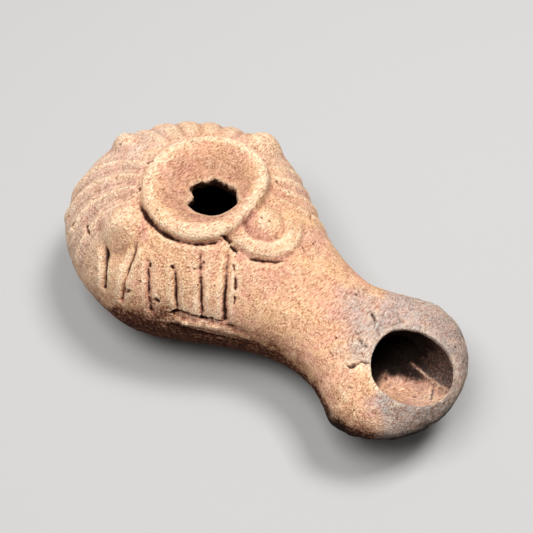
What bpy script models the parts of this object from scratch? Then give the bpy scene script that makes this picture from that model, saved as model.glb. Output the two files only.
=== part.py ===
"""A moulded pottery oil lamp, hollow, in one piece of fired clay.

Two press-moulded halves were luted together along a join round the widest part, so the lamp is a
deep bowl on a flat foot under a domed shoulder, drawn out into one long nozzle with a broad fluked
end. Metres, +Z up. The origin is on the foot, just in front of its middle, and +X points to the tip
of the nozzle. The lamp's left and right are those of someone looking along +X: the left is +Y.
"""

import math

import bmesh
import bpy
import numpy as np

# ---- driving sizes, in metres ----

# Bowl, seen from above: a slightly uneven round, longer at the back.
BOWL_X = -0.0015
BOWL_Y = -0.0013
BOWL_BACK = 0.0328
BOWL_RIGHT = 0.0307
BOWL_LEFT = 0.0297
FULLNESS_RIGHT = 2.18
FULLNESS_LEFT = 2.02

# Heights of the bowl. It would run on below the foot, which cuts it off flat.
JOIN_Z = 0.0178
DOME_Z = 0.0361
BOWL_BELOW_FOOT = 0.0040
DOME_REACH = 0.0360
DOME_FULLNESS = 1.95
UNDER_FULLNESS = 2.1

# Nozzle: stations along X, with half widths on each side.
NECK_X = 0.0382
NECK_RIGHT = 0.0149
NECK_LEFT = 0.0128
NECK_SLOPE_RIGHT = -0.07
NECK_SLOPE_LEFT = -0.11
SHOULDER_PULL = 0.0133
NECK_PULL = 0.0155
FLUKE_RIGHT_X = 0.0558
FLUKE_RIGHT = 0.0200
FLARE_RIGHT = 0.56
FLUKE_LEFT_X = 0.0570
FLUKE_LEFT = 0.0196
FLARE_LEFT = 0.29
TIP_X = 0.0742
TIP_SHIFT_Y = -0.0012
END_FULLNESS_RIGHT = 1.85
END_FULLNESS_LEFT = 2.1
NOZZLE_JOIN_Z = 0.0148
NOZZLE_TOP = ((0.020, 0.0310), (NECK_X, 0.0259), (FLUKE_RIGHT_X, 0.0237), (TIP_X, 0.0222))
NOZZLE_UNDER = (
    (0.008, 0.0), (0.025, 0.0019), (NECK_X, 0.0046), (FLUKE_RIGHT_X, 0.0080), (TIP_X, 0.0110)
)
END_ROUNDING = 0.009
END_DRAWN_IN = 0.75

# Walls, and the channel through the neck, which ends in a round nose inside the well.
WALL = 0.0032
FLOOR = 0.0038
DISH_WALL = 0.0019
CHANNEL_HALF = 0.0086
CHANNEL_END_X = 0.0640
CHANNEL_NOSE = 0.0080

# A dished disc inside a raised ring. The ring's lip is thin on the far side, at THIN_BEARING, and the
# boss squeezes the ring in, at SQUEEZE_BEARING. Bearings are in degrees from +X, about the ring's centre.
RING_X = 0.0014
RING_OUTER_R = 0.0160
RING_LIP = 0.0027
LIP_THINNED = 0.26
THIN_BEARING = 130.0
RING_CREST_Z = 0.0359
RING_SEAT_Z = 0.0338
DISH_FLOOR_Z = 0.0316
DISH_FULLNESS = 1.9
DISH_FLARE = 1.3
LIP_FULLNESS = 2.4
SQUEEZE = 0.225
LIP_SQUEEZE = 0.45
SQUEEZE_BEARING = 7.0
SQUEEZE_SPREAD = 46.0

# Filling hole, broken through the disc a little in front of its middle.
FILL_X = 0.0033
FILL_Y = -0.0008
FILL_R = 0.0060

# Boss on the shoulder, before the nozzle, with a sloping band round it.
BOSS_X = 0.0167
BOSS_Y = 0.0021
BOSS_R = 0.0052
BOSS_HEIGHT = 0.0015
BAND_INNER_R = 0.0056
BAND_OUTER_R = 0.0092
BAND_HEIGHT = 0.0012

# Knobs: bearing in degrees and distance from the middle of the ring, radius and height. There is a
# hollow just below the right one.
BACK_KNOB = (178.5, 0.0288, 0.0042, 0.0024)
LEFT_KNOB = (95.5, 0.0226, 0.0055, 0.0030)
RIGHT_KNOB = (245.0, 0.0217, 0.0060, 0.0021)
RIGHT_HOLLOW = (254.7, 0.0252, 0.0048, -0.0006)

# Petals from the back knob to the left knob, and waved locks from the back knob to the right one,
# which sweep round towards the right as they run out from LOCK_BEND to the edge.
PETAL_FIRST, PETAL_LAST, PETAL_STEP = 99.9, 168.0, 12.4
PETAL_RISE = 0.0004
PETAL_DEPTH = 0.0008
PETAL_INNER = 0.0170
LOCK_FIRST, LOCK_LAST, LOCK_STEP = 194.5, 231.4, 12.3
LOCK_SWEEP = 8.5
LOCK_BEND, LOCK_EDGE = 0.0195, 0.0330
LOCK_HEIGHT = 0.0006

# Straight flutes down both flanks, from the front one to the back one: the bearing of its foot about
# the ring's centre, its direction in plan, the distance out at which it begins and how much of
# FLUTE_DEPTH it has kept. The left ones are worn shallow.
FLUTES = (
    (41.0, 53.0, 0.0160, 1.1),
    (51.5, 48.0, 0.0160, 1.0),
    (63.0, 46.0, 0.0205, 0.9),
    (76.5, 45.0, 0.0212, 0.6),
    (91.0, 72.0, 0.0205, 0.9),
    (106.0, 56.0, 0.0262, 1.2),
)
FLUTE_FOOT_R = 0.0285
FLUTE_HALF = 0.0007
FLUTE_DEPTH = 0.0011
FLUTE_REACH = 0.02
FLUTE_END_Z = 0.0222
LEFT_WEAR = 0.45
LEDGE_Z = 0.0206
LEDGE_HEIGHT = 0.0007

# Wick hole: the mouth of a well in the end of the nozzle. Its rim drops towards the tip. Its wall is
# steep on the far side from WELL_SLOPE_BEARING, in degrees, and slopes gently up to the rim there.
WICK_X = 0.0633
WICK_Y = -0.0016
WICK_R = 0.0093
WICK_RIM_Z = 0.0238
WICK_RIM_DROP = 0.0036
WELL_FLOOR_Z = 0.0125
WELL_SHIFT = 0.0022
WELL_SLOPE_BEARING = -45.0
WELL_SLOPE_FULLNESS = 1.25
WELL_STEEP_FULLNESS = 3.0

# Facets. No section is narrower than LEAST, and none is nearer an end than LEAST_END.
LEAST = 0.0006
LEAST_END = 0.00005
STATIONS = 310
ROUND = 310
HOLLOW_STATIONS = 34
HOLLOW_ROUND = 24
WELL_RINGS = 10
WELL_ROUND = 36
FILLING_HOLE_SIDES = 36
FACETS_KEPT = 0.038
CLAY = (0.58, 0.30, 0.16, 1.0)


# ---- curves ----

def fair_curve(x, start, start_slope, start_pull, end, end_slope, end_pull):
    """Height above x of a Bezier curve between two points, with a slope and a pull at each end."""
    t = np.linspace(0.0, 1.0, 60)[:, None]
    p0 = np.array(start)
    p3 = np.array(end)
    p1 = p0 + start_pull * np.array((1.0, start_slope))
    p2 = p3 - end_pull * np.array((1.0, end_slope))
    p = (1 - t) ** 3 * p0 + 3 * (1 - t) ** 2 * t * p1 + 3 * (1 - t) * t * t * p2 + t**3 * p3
    return np.interp(x, p[:, 0], p[:, 1])


def ease(low, high, x):
    """0 below low, 1 above high, and smooth between them."""
    t = np.clip((x - low) / (high - low), 0.0, 1.0)
    return t * t * (3.0 - 2.0 * t)


def dome(u, fullness):
    """Height of a rounded form, 1 in the middle and 0 at its edge, where u is 1."""
    return np.maximum(1.0 - np.clip(u, 0.0, 1.0) ** fullness, 0.0) ** (1.0 / fullness)


def along(x, line):
    """Height at x on a smooth line through a few points."""
    px, pz = np.array(line).T
    slope = np.gradient(pz, px)
    i = np.clip(np.searchsorted(px, x) - 1, 0, len(px) - 2)
    step = px[i + 1] - px[i]
    t = np.clip((x - px[i]) / step, 0.0, 1.0)
    from_left = pz[i] * (1 + 2 * t) + slope[i] * step * t
    from_right = pz[i + 1] * (3 - 2 * t) - slope[i + 1] * step * (1 - t)
    return from_left * (1 - t) ** 2 + from_right * t**2


def near_bearing(bearing, middle, spread):
    """1 at the bearing named middle, fading out on both sides of it."""
    away = (bearing - middle + 180.0) % 360.0 - 180.0
    return np.exp(-((away / spread) ** 2))


# ---- the plain form ----

def bowl_edge(x, radius, fullness, neck, neck_slope):
    """Half width of one side of the lamp, from the back of the bowl to the neck."""
    back = radius * dome((BOWL_X - x) / BOWL_BACK, fullness)
    front = fair_curve(x, (BOWL_X, radius), 0.0, SHOULDER_PULL, (NECK_X, neck), neck_slope, NECK_PULL)
    return np.where(x < BOWL_X, back, front)


def nozzle_edge(x, neck, neck_slope, fluke_x, fluke, flare, fullness):
    """Half width of one side of the lamp, from the neck out to the fluke and round to the tip."""
    reach = fluke_x - NECK_X
    side = fair_curve(x, (NECK_X, neck), neck_slope, 0.4 * reach, (fluke_x, fluke), flare, 0.35 * reach)
    end = fluke * dome((x - fluke_x) / (TIP_X - fluke_x), fullness)
    return np.where(x < fluke_x, side, end)


def right_edge(x):
    bowl = bowl_edge(x, BOWL_RIGHT, FULLNESS_RIGHT, NECK_RIGHT, NECK_SLOPE_RIGHT)
    nozzle = nozzle_edge(
        x, NECK_RIGHT, NECK_SLOPE_RIGHT, FLUKE_RIGHT_X, FLUKE_RIGHT, FLARE_RIGHT, END_FULLNESS_RIGHT
    )
    return np.where(x < NECK_X, bowl, nozzle)


def left_edge(x):
    bowl = bowl_edge(x, BOWL_LEFT, FULLNESS_LEFT, NECK_LEFT, NECK_SLOPE_LEFT)
    nozzle = nozzle_edge(
        x, NECK_LEFT, NECK_SLOPE_LEFT, FLUKE_LEFT_X, FLUKE_LEFT, FLARE_LEFT, END_FULLNESS_LEFT
    )
    return np.where(x < NECK_X, bowl, nozzle)


def profile(x):
    """Half widths to the right and left, top, underside, join and middle line at each x."""
    join = JOIN_Z + (NOZZLE_JOIN_Z - JOIN_Z) * ease(0.012, 0.043, x)
    u = np.abs(x - BOWL_X) / np.where(x < BOWL_X, BOWL_BACK, DOME_REACH)
    top = JOIN_Z + (DOME_Z - JOIN_Z) * dome(u, DOME_FULLNESS)
    under = JOIN_Z - (JOIN_Z + BOWL_BELOW_FOOT) * dome(u, UNDER_FULLNESS)
    tip = np.clip((x - (TIP_X - END_ROUNDING)) / END_ROUNDING, 0.0, 1.0)
    drawn_in = END_DRAWN_IN * (1.0 - np.sqrt(1.0 - tip * tip))
    nozzle_top = along(x, NOZZLE_TOP)
    nozzle_under = along(x, NOZZLE_UNDER)
    nozzle_top = nozzle_top + (join - nozzle_top) * drawn_in
    nozzle_under = nozzle_under + (join - nozzle_under) * drawn_in
    nozzle = ease(0.006, 0.026, x)
    top = top + (nozzle_top - top) * nozzle
    under = under + (nozzle_under - under) * nozzle
    middle = BOWL_Y * (1.0 - ease(0.010, 0.045, x)) + TIP_SHIFT_Y * ease(0.030, TIP_X, x)
    return right_edge(x), left_edge(x), top, under, join, middle


def stations(first, last, count):
    """Stations from first to last along X, crowded towards both ends, where the form turns in."""
    t = np.linspace(0.0, 1.0, count)
    even = first + (last - first) * t
    crowded = 0.5 * (first + last) - 0.5 * (last - first) * np.cos(math.pi * t)
    return 0.35 * even + 0.65 * crowded


def section_rings(x, right, left, top, under, join, middle, count):
    """One closed ring of points across the lamp at each x."""
    angle = np.linspace(0.0, 2.0 * math.pi, count, endpoint=False)
    c, s = np.cos(angle), np.sin(angle)
    nozzle = ease(0.005, 0.035, x)[:, None]
    power = np.where(s > 0, 2.0 + 0.45 * nozzle, 2.05 + 0.25 * nozzle)
    across = np.sign(c) * np.abs(c) ** (2.0 / power)
    height = np.sign(s) * np.abs(s) ** (2.0 / power)
    y = middle[:, None] + across * np.where(across > 0, left[:, None], right[:, None])
    rise = np.where(height > 0, (top - join)[:, None], (join - under)[:, None])
    z = join[:, None] + height * rise
    return np.stack([np.broadcast_to(x[:, None], y.shape), y, z], axis=-1)


def skin(name, rings):
    """A closed mesh object over rings of points, with each end capped."""
    count = rings.shape[1]
    mesh = bpy.data.meshes.new(name)
    faces = []
    for i in range(len(rings) - 1):
        for j in range(count):
            a, b = i * count + j, i * count + (j + 1) % count
            faces.append((a, b, b + count, a + count))
    last = (len(rings) - 1) * count
    faces.append(tuple(range(count))[::-1])
    faces.append(tuple(last + j for j in range(count)))
    mesh.from_pydata(rings.reshape(-1, 3).tolist(), [], faces)
    bm = bmesh.new()
    bm.from_mesh(mesh)
    bmesh.ops.triangulate(bm, faces=[f for f in bm.faces if len(f.verts) > 4])
    bmesh.ops.recalc_face_normals(bm, faces=bm.faces)
    bm.to_mesh(mesh)
    bm.free()
    obj = bpy.data.objects.new(name, mesh)
    bpy.context.collection.objects.link(obj)
    return obj


# ---- relief pressed in the moulds ----

def groove(d, half):
    """Cross-section of a pressed groove, 1 deep in its middle line."""
    return np.exp(-((d / half) ** 2))


def swell(u):
    """Height of a soft bump, 1 in the middle and fading out at its edge, where u is 1."""
    return np.maximum(1.0 - u * u, 0.0) ** 1.5


def ring_edges(bearing):
    """Distances from the ring's centre to its crest and to its outer edge."""
    squeezed = near_bearing(bearing, SQUEEZE_BEARING, SQUEEZE_SPREAD)
    outer = RING_OUTER_R * (1.0 - SQUEEZE * squeezed)
    thinned = 1.0 - LIP_THINNED * np.cos(np.radians(bearing - THIN_BEARING))
    return outer - RING_LIP * thinned * (1.0 - LIP_SQUEEZE * squeezed), outer


def ring_and_dish(r, crest, outer, z):
    """Rise of the top, at distance r from the ring's centre, to the ring and the dish within it."""
    sunk = (1.0 - np.minimum(r / crest, 1.0) ** DISH_FULLNESS) ** DISH_FLARE
    dish = RING_CREST_Z - (RING_CREST_Z - DISH_FLOOR_Z) * sunk
    out = (r - crest) / (outer - crest)
    lip = RING_SEAT_Z + (RING_CREST_Z - RING_SEAT_Z) * dome(out, LIP_FULLNESS)
    return np.where(r < outer, np.where(r < crest, dish, lip) - z, 0.0)


def boss_and_band(x, y, past_ring):
    """The boss and its band, past_ring beyond the ring's outer edge. The band is worn away on the left."""
    r = np.hypot(x - BOSS_X, y - BOSS_Y)
    bearing = np.degrees(np.arctan2(y - BOSS_Y, x - BOSS_X))
    clear = ease(-0.0014, 0.0004, past_ring)
    rise = ease(BAND_INNER_R - 0.0016, BAND_INNER_R + 0.0009, r)
    shelf = 1.0 - 0.4 * ease(BAND_INNER_R, BAND_OUTER_R + 0.0010, r)
    fall = 1.0 - ease(BAND_OUTER_R - 0.0008, BAND_OUTER_R + 0.0004, r)
    band = BAND_HEIGHT * rise * shelf * fall * (1.0 - 0.85 * ease(0.0, 70.0, bearing))
    return clear * (BOSS_HEIGHT * swell(r / BOSS_R) + band)


def knobs(x, y):
    rise = 0.0
    for bearing, distance, radius, height in (BACK_KNOB, LEFT_KNOB, RIGHT_KNOB, RIGHT_HOLLOW):
        kx = RING_X + distance * math.cos(math.radians(bearing))
        ky = distance * math.sin(math.radians(bearing))
        rise = rise + height * swell(np.hypot(x - kx, y - ky) / radius)
    return rise


def petals(bearing, r):
    """Rounded tongues side by side, parted by grooves that run down the shoulder."""
    phase = (bearing - PETAL_FIRST) / PETAL_STEP
    valley = np.abs(np.cos(math.pi * phase)) ** 6
    begins = ease(PETAL_FIRST - 8.0, PETAL_FIRST, bearing)
    ends = 1.0 - ease(PETAL_LAST, PETAL_LAST + 4.0, bearing)
    inner = ease(PETAL_INNER, PETAL_INNER + 0.004, r)
    return (PETAL_RISE - PETAL_DEPTH * valley) * begins * ends * inner


def locks(bearing, r):
    """Hair-like locks: soft crests that run outward from the ring, sunk between."""
    bend = np.clip((r - LOCK_BEND) / (LOCK_EDGE - LOCK_BEND), 0.0, 1.2)
    swept = bearing - LOCK_SWEEP * bend**2
    crest = np.abs(np.cos(math.pi * (swept - LOCK_FIRST) / LOCK_STEP)) ** 3
    begins = ease(LOCK_FIRST - 6.0, LOCK_FIRST - 1.0, swept)
    ends = 1.0 - ease(LOCK_LAST, LOCK_LAST + 6.0, swept)
    return LOCK_HEIGHT * (crest - 0.5) * begins * ends * ease(RING_OUTER_R, RING_OUTER_R + 0.003, r)


def flutes(x, y, z, r, side):
    """Straight grooves down one flank, side 1 on the right and -1 on the left."""
    cut = 0.0
    for foot_bearing, direction, begins, kept in FLUTES:
        run = math.radians(direction)
        foot = math.radians(foot_bearing)
        dx = x - RING_X - FLUTE_FOOT_R * math.cos(foot)
        dy = -side * y - FLUTE_FOOT_R * math.sin(foot)
        across = dx * math.sin(run) - dy * math.cos(run)
        down = dx * math.cos(run) + dy * math.sin(run)
        deeper = kept * (0.3 + 0.7 * ease(-0.010, -0.002, down)) * (down > -FLUTE_REACH)
        cut = cut + deeper * groove(across, FLUTE_HALF) * ease(begins, begins + 0.002, r)
    flank = (side * y < 0) * ease(FLUTE_END_Z - 0.0006, FLUTE_END_Z, z)
    return -FLUTE_DEPTH * cut * flank


def ledge(x, y, z):
    """Clay squeezed out of the join, left along the front of the right flank."""
    run = ease(0.006, 0.016, x) * (1.0 - ease(0.028, 0.036, x)) * (y < 0)
    height = LEDGE_Z - 0.0022 * ease(0.014, 0.034, x)
    return LEDGE_HEIGHT * run * groove(z - height, 0.0007)


def press_relief(obj):
    """Move the points of the plain skin out or in by the relief."""
    mesh = obj.data
    points = np.empty(len(mesh.vertices) * 3)
    mesh.vertices.foreach_get("co", points)
    normals = np.empty(len(mesh.vertices) * 3)
    mesh.vertices.foreach_get("normal", normals)
    points = points.reshape(-1, 3)
    normals = normals.reshape(-1, 3)
    x, y, z = points.T
    r = np.hypot(x - RING_X, y)
    bearing = np.degrees(np.arctan2(y, x - RING_X)) % 360.0
    upper = ease(JOIN_Z + 0.001, JOIN_Z + 0.004, z)
    knob = knobs(x, y)
    flanks = flutes(x, y, z, r, 1.0) + LEFT_WEAR * flutes(x, y, z, r, -1.0)
    lines = petals(bearing, r) + locks(bearing, r) + flanks
    crest, outer = ring_edges(bearing)
    shoulder = boss_and_band(x, y, r - outer) + knob + lines * (1.0 - ease(0.0002, 0.0011, knob))
    points[:, 2] += ring_and_dish(r, crest, outer, z) * (z > JOIN_Z + 0.006)
    points += normals * (shoulder * upper + ledge(x, y, z))[:, None]
    mesh.vertices.foreach_set("co", points.ravel())
    mesh.update()


# ---- the hollow and the openings ----

def hollow():
    """The inside, one wall thickness within the outside, from the bowl through the neck to the well."""
    first = BOWL_X - BOWL_BACK
    x = stations(first + WALL, CHANNEL_END_X, HOLLOW_STATIONS)
    outside = first + LEAST + (x - x[0]) * (x[-1] - first - LEAST) / (x[-1] - x[0])
    right, left, top, under, join, middle = profile(outside)
    under = np.maximum(under, 0.0) + np.where(x < NOZZLE_TOP[0][0], FLOOR, WALL)
    top = np.minimum(top - WALL, DISH_FLOOR_Z - DISH_WALL)
    narrow = ease(NOZZLE_TOP[0][0], NECK_X, x)
    right = right - WALL + (CHANNEL_HALF - right + WALL) * narrow
    left = left - WALL + (CHANNEL_HALF - left + WALL) * narrow
    right, left = np.maximum(right, LEAST), np.maximum(left, LEAST)
    top, under = np.maximum(top, join + LEAST), np.minimum(under, join - LEAST)
    nose = np.maximum(dome((x - CHANNEL_END_X + CHANNEL_NOSE) / CHANNEL_NOSE, 2.0), 0.1)
    right, left = right * nose, left * nose
    top, under = join + (top - join) * nose, join - (join - under) * nose
    return skin("hollow", section_rings(x, right, left, top, under, join, middle, HOLLOW_ROUND))


def prism(name, outline, low, high, flare):
    """A closed upright cutter with the given outline, wider at its top by flare."""
    mesh = bpy.data.meshes.new(name)
    bm = bmesh.new()
    foot = [bm.verts.new((x, y, low)) for x, y in outline]
    base = bm.faces.new(foot)
    raised = bmesh.ops.extrude_face_region(bm, geom=[base])
    lid = [v for v in raised["geom"] if isinstance(v, bmesh.types.BMVert)]
    bmesh.ops.translate(bm, verts=lid, vec=(0.0, 0.0, high - low))
    centre = sum((v.co for v in lid), lid[0].co * 0.0) / len(lid)
    for v in lid:
        v.co.xy = centre.xy + (v.co.xy - centre.xy) * flare
    bmesh.ops.recalc_face_normals(bm, faces=bm.faces)
    bm.to_mesh(mesh)
    bm.free()
    obj = bpy.data.objects.new(name, mesh)
    bpy.context.collection.objects.link(obj)
    return obj


def filling_hole():
    """A hole with a broken edge: a tongue of the disc is left in it at the back right."""
    outline = []
    for i in range(FILLING_HOLE_SIDES):
        bearing = 360.0 * i / FILLING_HOLE_SIDES
        a = math.radians(bearing)
        uneven = 0.085 * math.cos(2.0 * a - math.radians(10.0)) + 0.025 * math.sin(7.0 * a)
        tongue = 0.34 * near_bearing(bearing, 211.0, 17.0) - 0.06 * near_bearing(bearing, 242.0, 12.0)
        r = FILL_R * (1.0 + uneven - tongue)
        outline.append((FILL_X + r * math.cos(a), FILL_Y + r * math.sin(a)))
    return prism("filling_hole", outline, JOIN_Z + 0.006, RING_CREST_Z + 0.004, 1.04)


def wick_hole():
    """The well under the wick hole, with its deepest place towards the channel."""
    bearing = np.linspace(0.0, 2.0 * math.pi, WELL_ROUND, endpoint=False)
    away = 0.5 - 0.5 * np.cos(bearing - math.radians(WELL_SLOPE_BEARING))
    fullness = WELL_SLOPE_FULLNESS + (WELL_STEEP_FULLNESS - WELL_SLOPE_FULLNESS) * away
    along_rim = 0.5 + 0.5 * np.cos(bearing)
    rim_z = WICK_RIM_Z - WICK_RIM_DROP * along_rim**2
    u = np.sin(np.linspace(0.06, 1.0, WELL_RINGS) * 0.5 * math.pi)[:, None]
    sunk = dome(u, fullness)
    x = WICK_X + WICK_R * u * np.cos(bearing) - WELL_SHIFT * sunk
    y = WICK_Y + WICK_R * u * np.sin(bearing)
    z = rim_z - (rim_z - WELL_FLOOR_Z) * sunk
    rings = np.stack([x, y, z], axis=-1)
    above = rings[-1:] + np.array((0.0, 0.0, WICK_R))
    return skin("wick_hole", np.concatenate([rings, above]))


def below_foot():
    """What lies below the foot's plane, cut away to leave the foot flat."""
    side = 0.03
    outline = [(-side, -side), (side, -side), (side, side), (-side, side)]
    return prism("below_foot", outline, -0.02, 0.0, 1.0)


# ---- the lamp ----

def clay():
    material = bpy.data.materials.new("fired_clay")
    material.use_nodes = True
    shader = material.node_tree.nodes["Principled BSDF"]
    shader.inputs["Base Color"].default_value = CLAY
    shader.inputs["Roughness"].default_value = 0.85
    shader.inputs["Metallic"].default_value = 0.0
    return material


def cut(body, cutter):
    cutter.hide_render = True
    cutter.display_type = "WIRE"
    modifier = body.modifiers.new(cutter.name, "BOOLEAN")
    modifier.operation = "DIFFERENCE"
    modifier.solver = "EXACT"
    modifier.object = cutter


def main():
    for obj in list(bpy.data.objects):
        bpy.data.objects.remove(obj, do_unlink=True)
    x = stations(BOWL_X - BOWL_BACK + LEAST_END, TIP_X - LEAST_END, STATIONS)
    lamp = skin("oil_lamp", section_rings(x, *profile(x), ROUND))
    press_relief(lamp)
    facets = lamp.modifiers.new("facets", "DECIMATE")
    facets.ratio = FACETS_KEPT
    for cutter in (hollow(), filling_hole(), wick_hole(), below_foot()):
        cut(lamp, cutter)
    lamp.data.materials.append(clay())
    lamp.data.shade_smooth()
    lamp.data.set_sharp_from_angle(angle=math.radians(40.0))


main()
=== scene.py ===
"""Looks of a moulded pottery oil lamp: its fine clay skin, its finish and a small plain studio.

The skin is sculpted on the sizes of the packed solid: a sphere is drawn out into the lamp's form, the
pressed ornament is raised on it, it is hollowed and pierced, and then the cracks, chips, pits and wear
are worked into an even, dense mesh. Metres, +Z up, +X to the tip of the nozzle, +Y to the lamp's left.
Most pairs in the constants are fades along a coordinate: where there is none, and where it is full.
"""

import itertools
import math
from collections import namedtuple

import bpy
import numpy as np
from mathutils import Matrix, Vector
from mathutils.bvhtree import BVHTree


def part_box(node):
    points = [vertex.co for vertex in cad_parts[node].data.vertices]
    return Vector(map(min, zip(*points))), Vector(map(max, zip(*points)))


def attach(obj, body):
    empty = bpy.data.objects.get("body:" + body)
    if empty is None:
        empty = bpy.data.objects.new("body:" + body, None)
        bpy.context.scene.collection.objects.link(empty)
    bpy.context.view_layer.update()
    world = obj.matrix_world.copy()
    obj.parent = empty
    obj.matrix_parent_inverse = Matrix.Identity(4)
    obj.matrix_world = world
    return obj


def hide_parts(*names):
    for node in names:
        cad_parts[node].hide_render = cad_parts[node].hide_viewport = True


bl_info = {
    "name": "Pottery oil lamp",
    "version": (1, 0, 0),
    "blender": (4, 5, 0),
    "location": "View3D > Sidebar > Oil lamp",
    "description": "Sculpts the clay skin of a moulded oil lamp and sets a plain studio round it",
    "category": "Object",
}

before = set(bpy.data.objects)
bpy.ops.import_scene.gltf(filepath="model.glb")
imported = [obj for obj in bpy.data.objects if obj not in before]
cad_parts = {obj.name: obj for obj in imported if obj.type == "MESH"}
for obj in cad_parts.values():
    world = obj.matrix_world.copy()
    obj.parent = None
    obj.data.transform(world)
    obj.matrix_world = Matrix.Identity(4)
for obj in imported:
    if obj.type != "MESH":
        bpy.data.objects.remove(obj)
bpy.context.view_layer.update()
LOW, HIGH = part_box("oil_lamp")

# ---- the lamp's form ----

# Bowl, seen from above, and its heights. It would run on below the foot, which cuts it off flat.
BOWL_X = -0.0015
BOWL_Y = -0.0013
BOWL_BACK = BOWL_X - LOW.x
JOIN_Z = 0.0178
DOME_Z = 0.0361
BOWL_BELOW_FOOT = 0.0040
DOME_REACH = 0.0360
DOME_FULLNESS = 1.95
UNDER_FULLNESS = 2.1

# Each side in plan: the bowl's half width and fullness, the neck's half width and slope, the fluke's
# place, half width and flare, and the end's fullness. A pull is how far a curve keeps to its slope, in
# metres up to the neck and as a share of the way from there to the fluke.
Side = namedtuple("Side", "bowl bowl_fullness neck slope fluke_x fluke flare end_fullness")
RIGHT = Side(0.0307, 2.18, 0.0149, -0.07, 0.0558, 0.0200, 0.56, 1.85)
LEFT = Side(0.0297, 2.02, 0.0128, -0.11, 0.0570, 0.0196, 0.29, 2.1)
NECK_X = 0.0382
SHOULDER_PULL = 0.0133
NECK_PULL = 0.0155
FLUKE_PULLS = (0.4, 0.35)

# Nozzle: heights of its top and its underside at stations along X, and its rounded end.
TIP_X = HIGH.x
TIP_SHIFT_Y = -0.0012
NOZZLE_JOIN_Z = 0.0148
NOZZLE_TOP = ((0.020, 0.0310), (NECK_X, 0.0259), (RIGHT.fluke_x, 0.0237), (TIP_X, 0.0222))
NOZZLE_UNDER = (
    (0.008, 0.0), (0.025, 0.0019), (NECK_X, 0.0046), (RIGHT.fluke_x, 0.0080), (TIP_X, 0.0110)
)
END_ROUNDING = 0.009
END_DRAWN_IN = 0.75

# Along X: the join comes down, the nozzle's heights and fullness take over from the bowl's, and the
# middle line leaves the bowl's and comes to the tip's.
JOIN_FALLS = (0.012, 0.043)
NOZZLE_HEIGHTS = (0.006, 0.026)
NOZZLE_FULLER = (0.005, 0.035)
BOWL_MIDDLE = (0.045, 0.010)
TIP_MIDDLE = (0.030, TIP_X)
# Fullness of a cross-section above and below the join: the bowl's, and what the nozzle adds.
ABOVE_FULLNESS = (2.0, 0.45)
BELOW_FULLNESS = (2.05, 0.25)

# Walls, and the channel through the neck, which ends in a round nose inside the well.
WALL = 0.0032
FLOOR = 0.0038
DISH_WALL = 0.0019
CHANNEL_HALF = 0.0086
CHANNEL_END_X = 0.0640
CHANNEL_NOSE = 0.0080

# Well under the wick hole. Its rim drops towards the tip, and its wall slopes gently on one side.
WICK_X = 0.0633
WICK_Y = -0.0016
WICK_R = 0.0093
WICK_RIM_Z = 0.0238
WICK_RIM_DROP = 0.0036
WELL_FLOOR_Z = 0.0125
WELL_SHIFT = 0.0022
WELL_SLOPE_BEARING = -45.0
WELL_SLOPE_FULLNESS = 1.25
WELL_STEEP_FULLNESS = 3.0
WELL_UNEVEN = 0.02

# ---- the pressed ornament ----

# The shoulder carries it from just above the join, and the ring only well above it.
ON_SHOULDER = (JOIN_Z + 0.001, JOIN_Z + 0.004)
RING_ABOVE = JOIN_Z + 0.006

# A dished disc inside a raised ring. The ring's lip is thin on the far side, at THIN_BEARING, and the
# boss squeezes the ring in, at SQUEEZE_BEARING. Its near edge is undercut between two bearings.
RING_X = 0.0014
RING_OUTER_R = 0.0160
RING_LIP = 0.0027
LIP_THINNED = 0.26
THIN_BEARING = 130.0
RING_CREST_Z = HIGH.z
RING_SEAT_Z = 0.0338
DISH_FLOOR_Z = 0.0316
DISH_FULLNESS = 1.9
DISH_FLARE = 1.3
LIP_FULLNESS = 2.4
SQUEEZE = 0.225
LIP_SQUEEZE = 0.45
SQUEEZE_BEARING = 7.0
SQUEEZE_SPREAD = 46.0
UNDERCUT_FROM, UNDERCUT_TO = (226.0, 256.0), (322.0, 317.0)
UNDERCUT_OUT = 0.00025
UNDERCUT_HALF = 0.00030
UNDERCUT_RAGGED = 0.7
UNDERCUT_RANGE = (0.3, 1.6)

# Filling hole, broken through the disc a little in front of its middle. Its edge swings out two ways
# and ripples, a tongue stands in it and a notch lies beside that: how far, where and how wide.
FILL_X = 0.0033
FILL_Y = -0.0008
FILL_R = 0.0060
FILL_OVAL, FILL_OVAL_BEARING = 0.085, 10.0
FILL_RIPPLE, FILL_RIPPLES = 0.025, 7.0
FILL_TONGUE = (0.34, 211.0, 17.0)
FILL_NOTCH = (0.06, 242.0, 12.0)
FILL_RAGGED = 0.05
FILL_LEAST_RAGGED, FILL_MORE_RAGGED = 0.3, (-0.4, 0.6)
HOLE_DEPTH, HOLE_MIDDLE_Z = 0.018, 0.032

# Boss with a sloping band round it: where the band rises, slopes down and falls away, outward from the
# boss's middle, and the bearings over which it is worn away.
BOSS_X = 0.0167
BOSS_Y = 0.0021
BOSS_R = 0.0052
BOSS_RISE = 1.25
BAND_CLEAR = (-0.0014, 0.0004)
BAND_RISES = (0.0040, 0.0065)
BAND_SLOPES, BAND_SLOPE = (0.0056, 0.0102), 0.4
BAND_FALLS = (0.0096, 0.0084)
BAND_WORN, BAND_WEAR = (0.0, 70.0), 0.85

# Knobs: bearing in degrees and distance from the middle of the ring, radius and height. The last is
# the hollow just below the right one. Lines stop where a knob rises.
KNOBS = (
    (178.5, 0.0288, 0.0042, 0.0024),
    (95.5, 0.0226, 0.0055, 0.0030),
    (245.0, 0.0217, 0.0060, 0.0023),
    (254.7, 0.0252, 0.0046, -0.0009),
)
KNOB_CLEARS = (0.0011, 0.0002)

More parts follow.
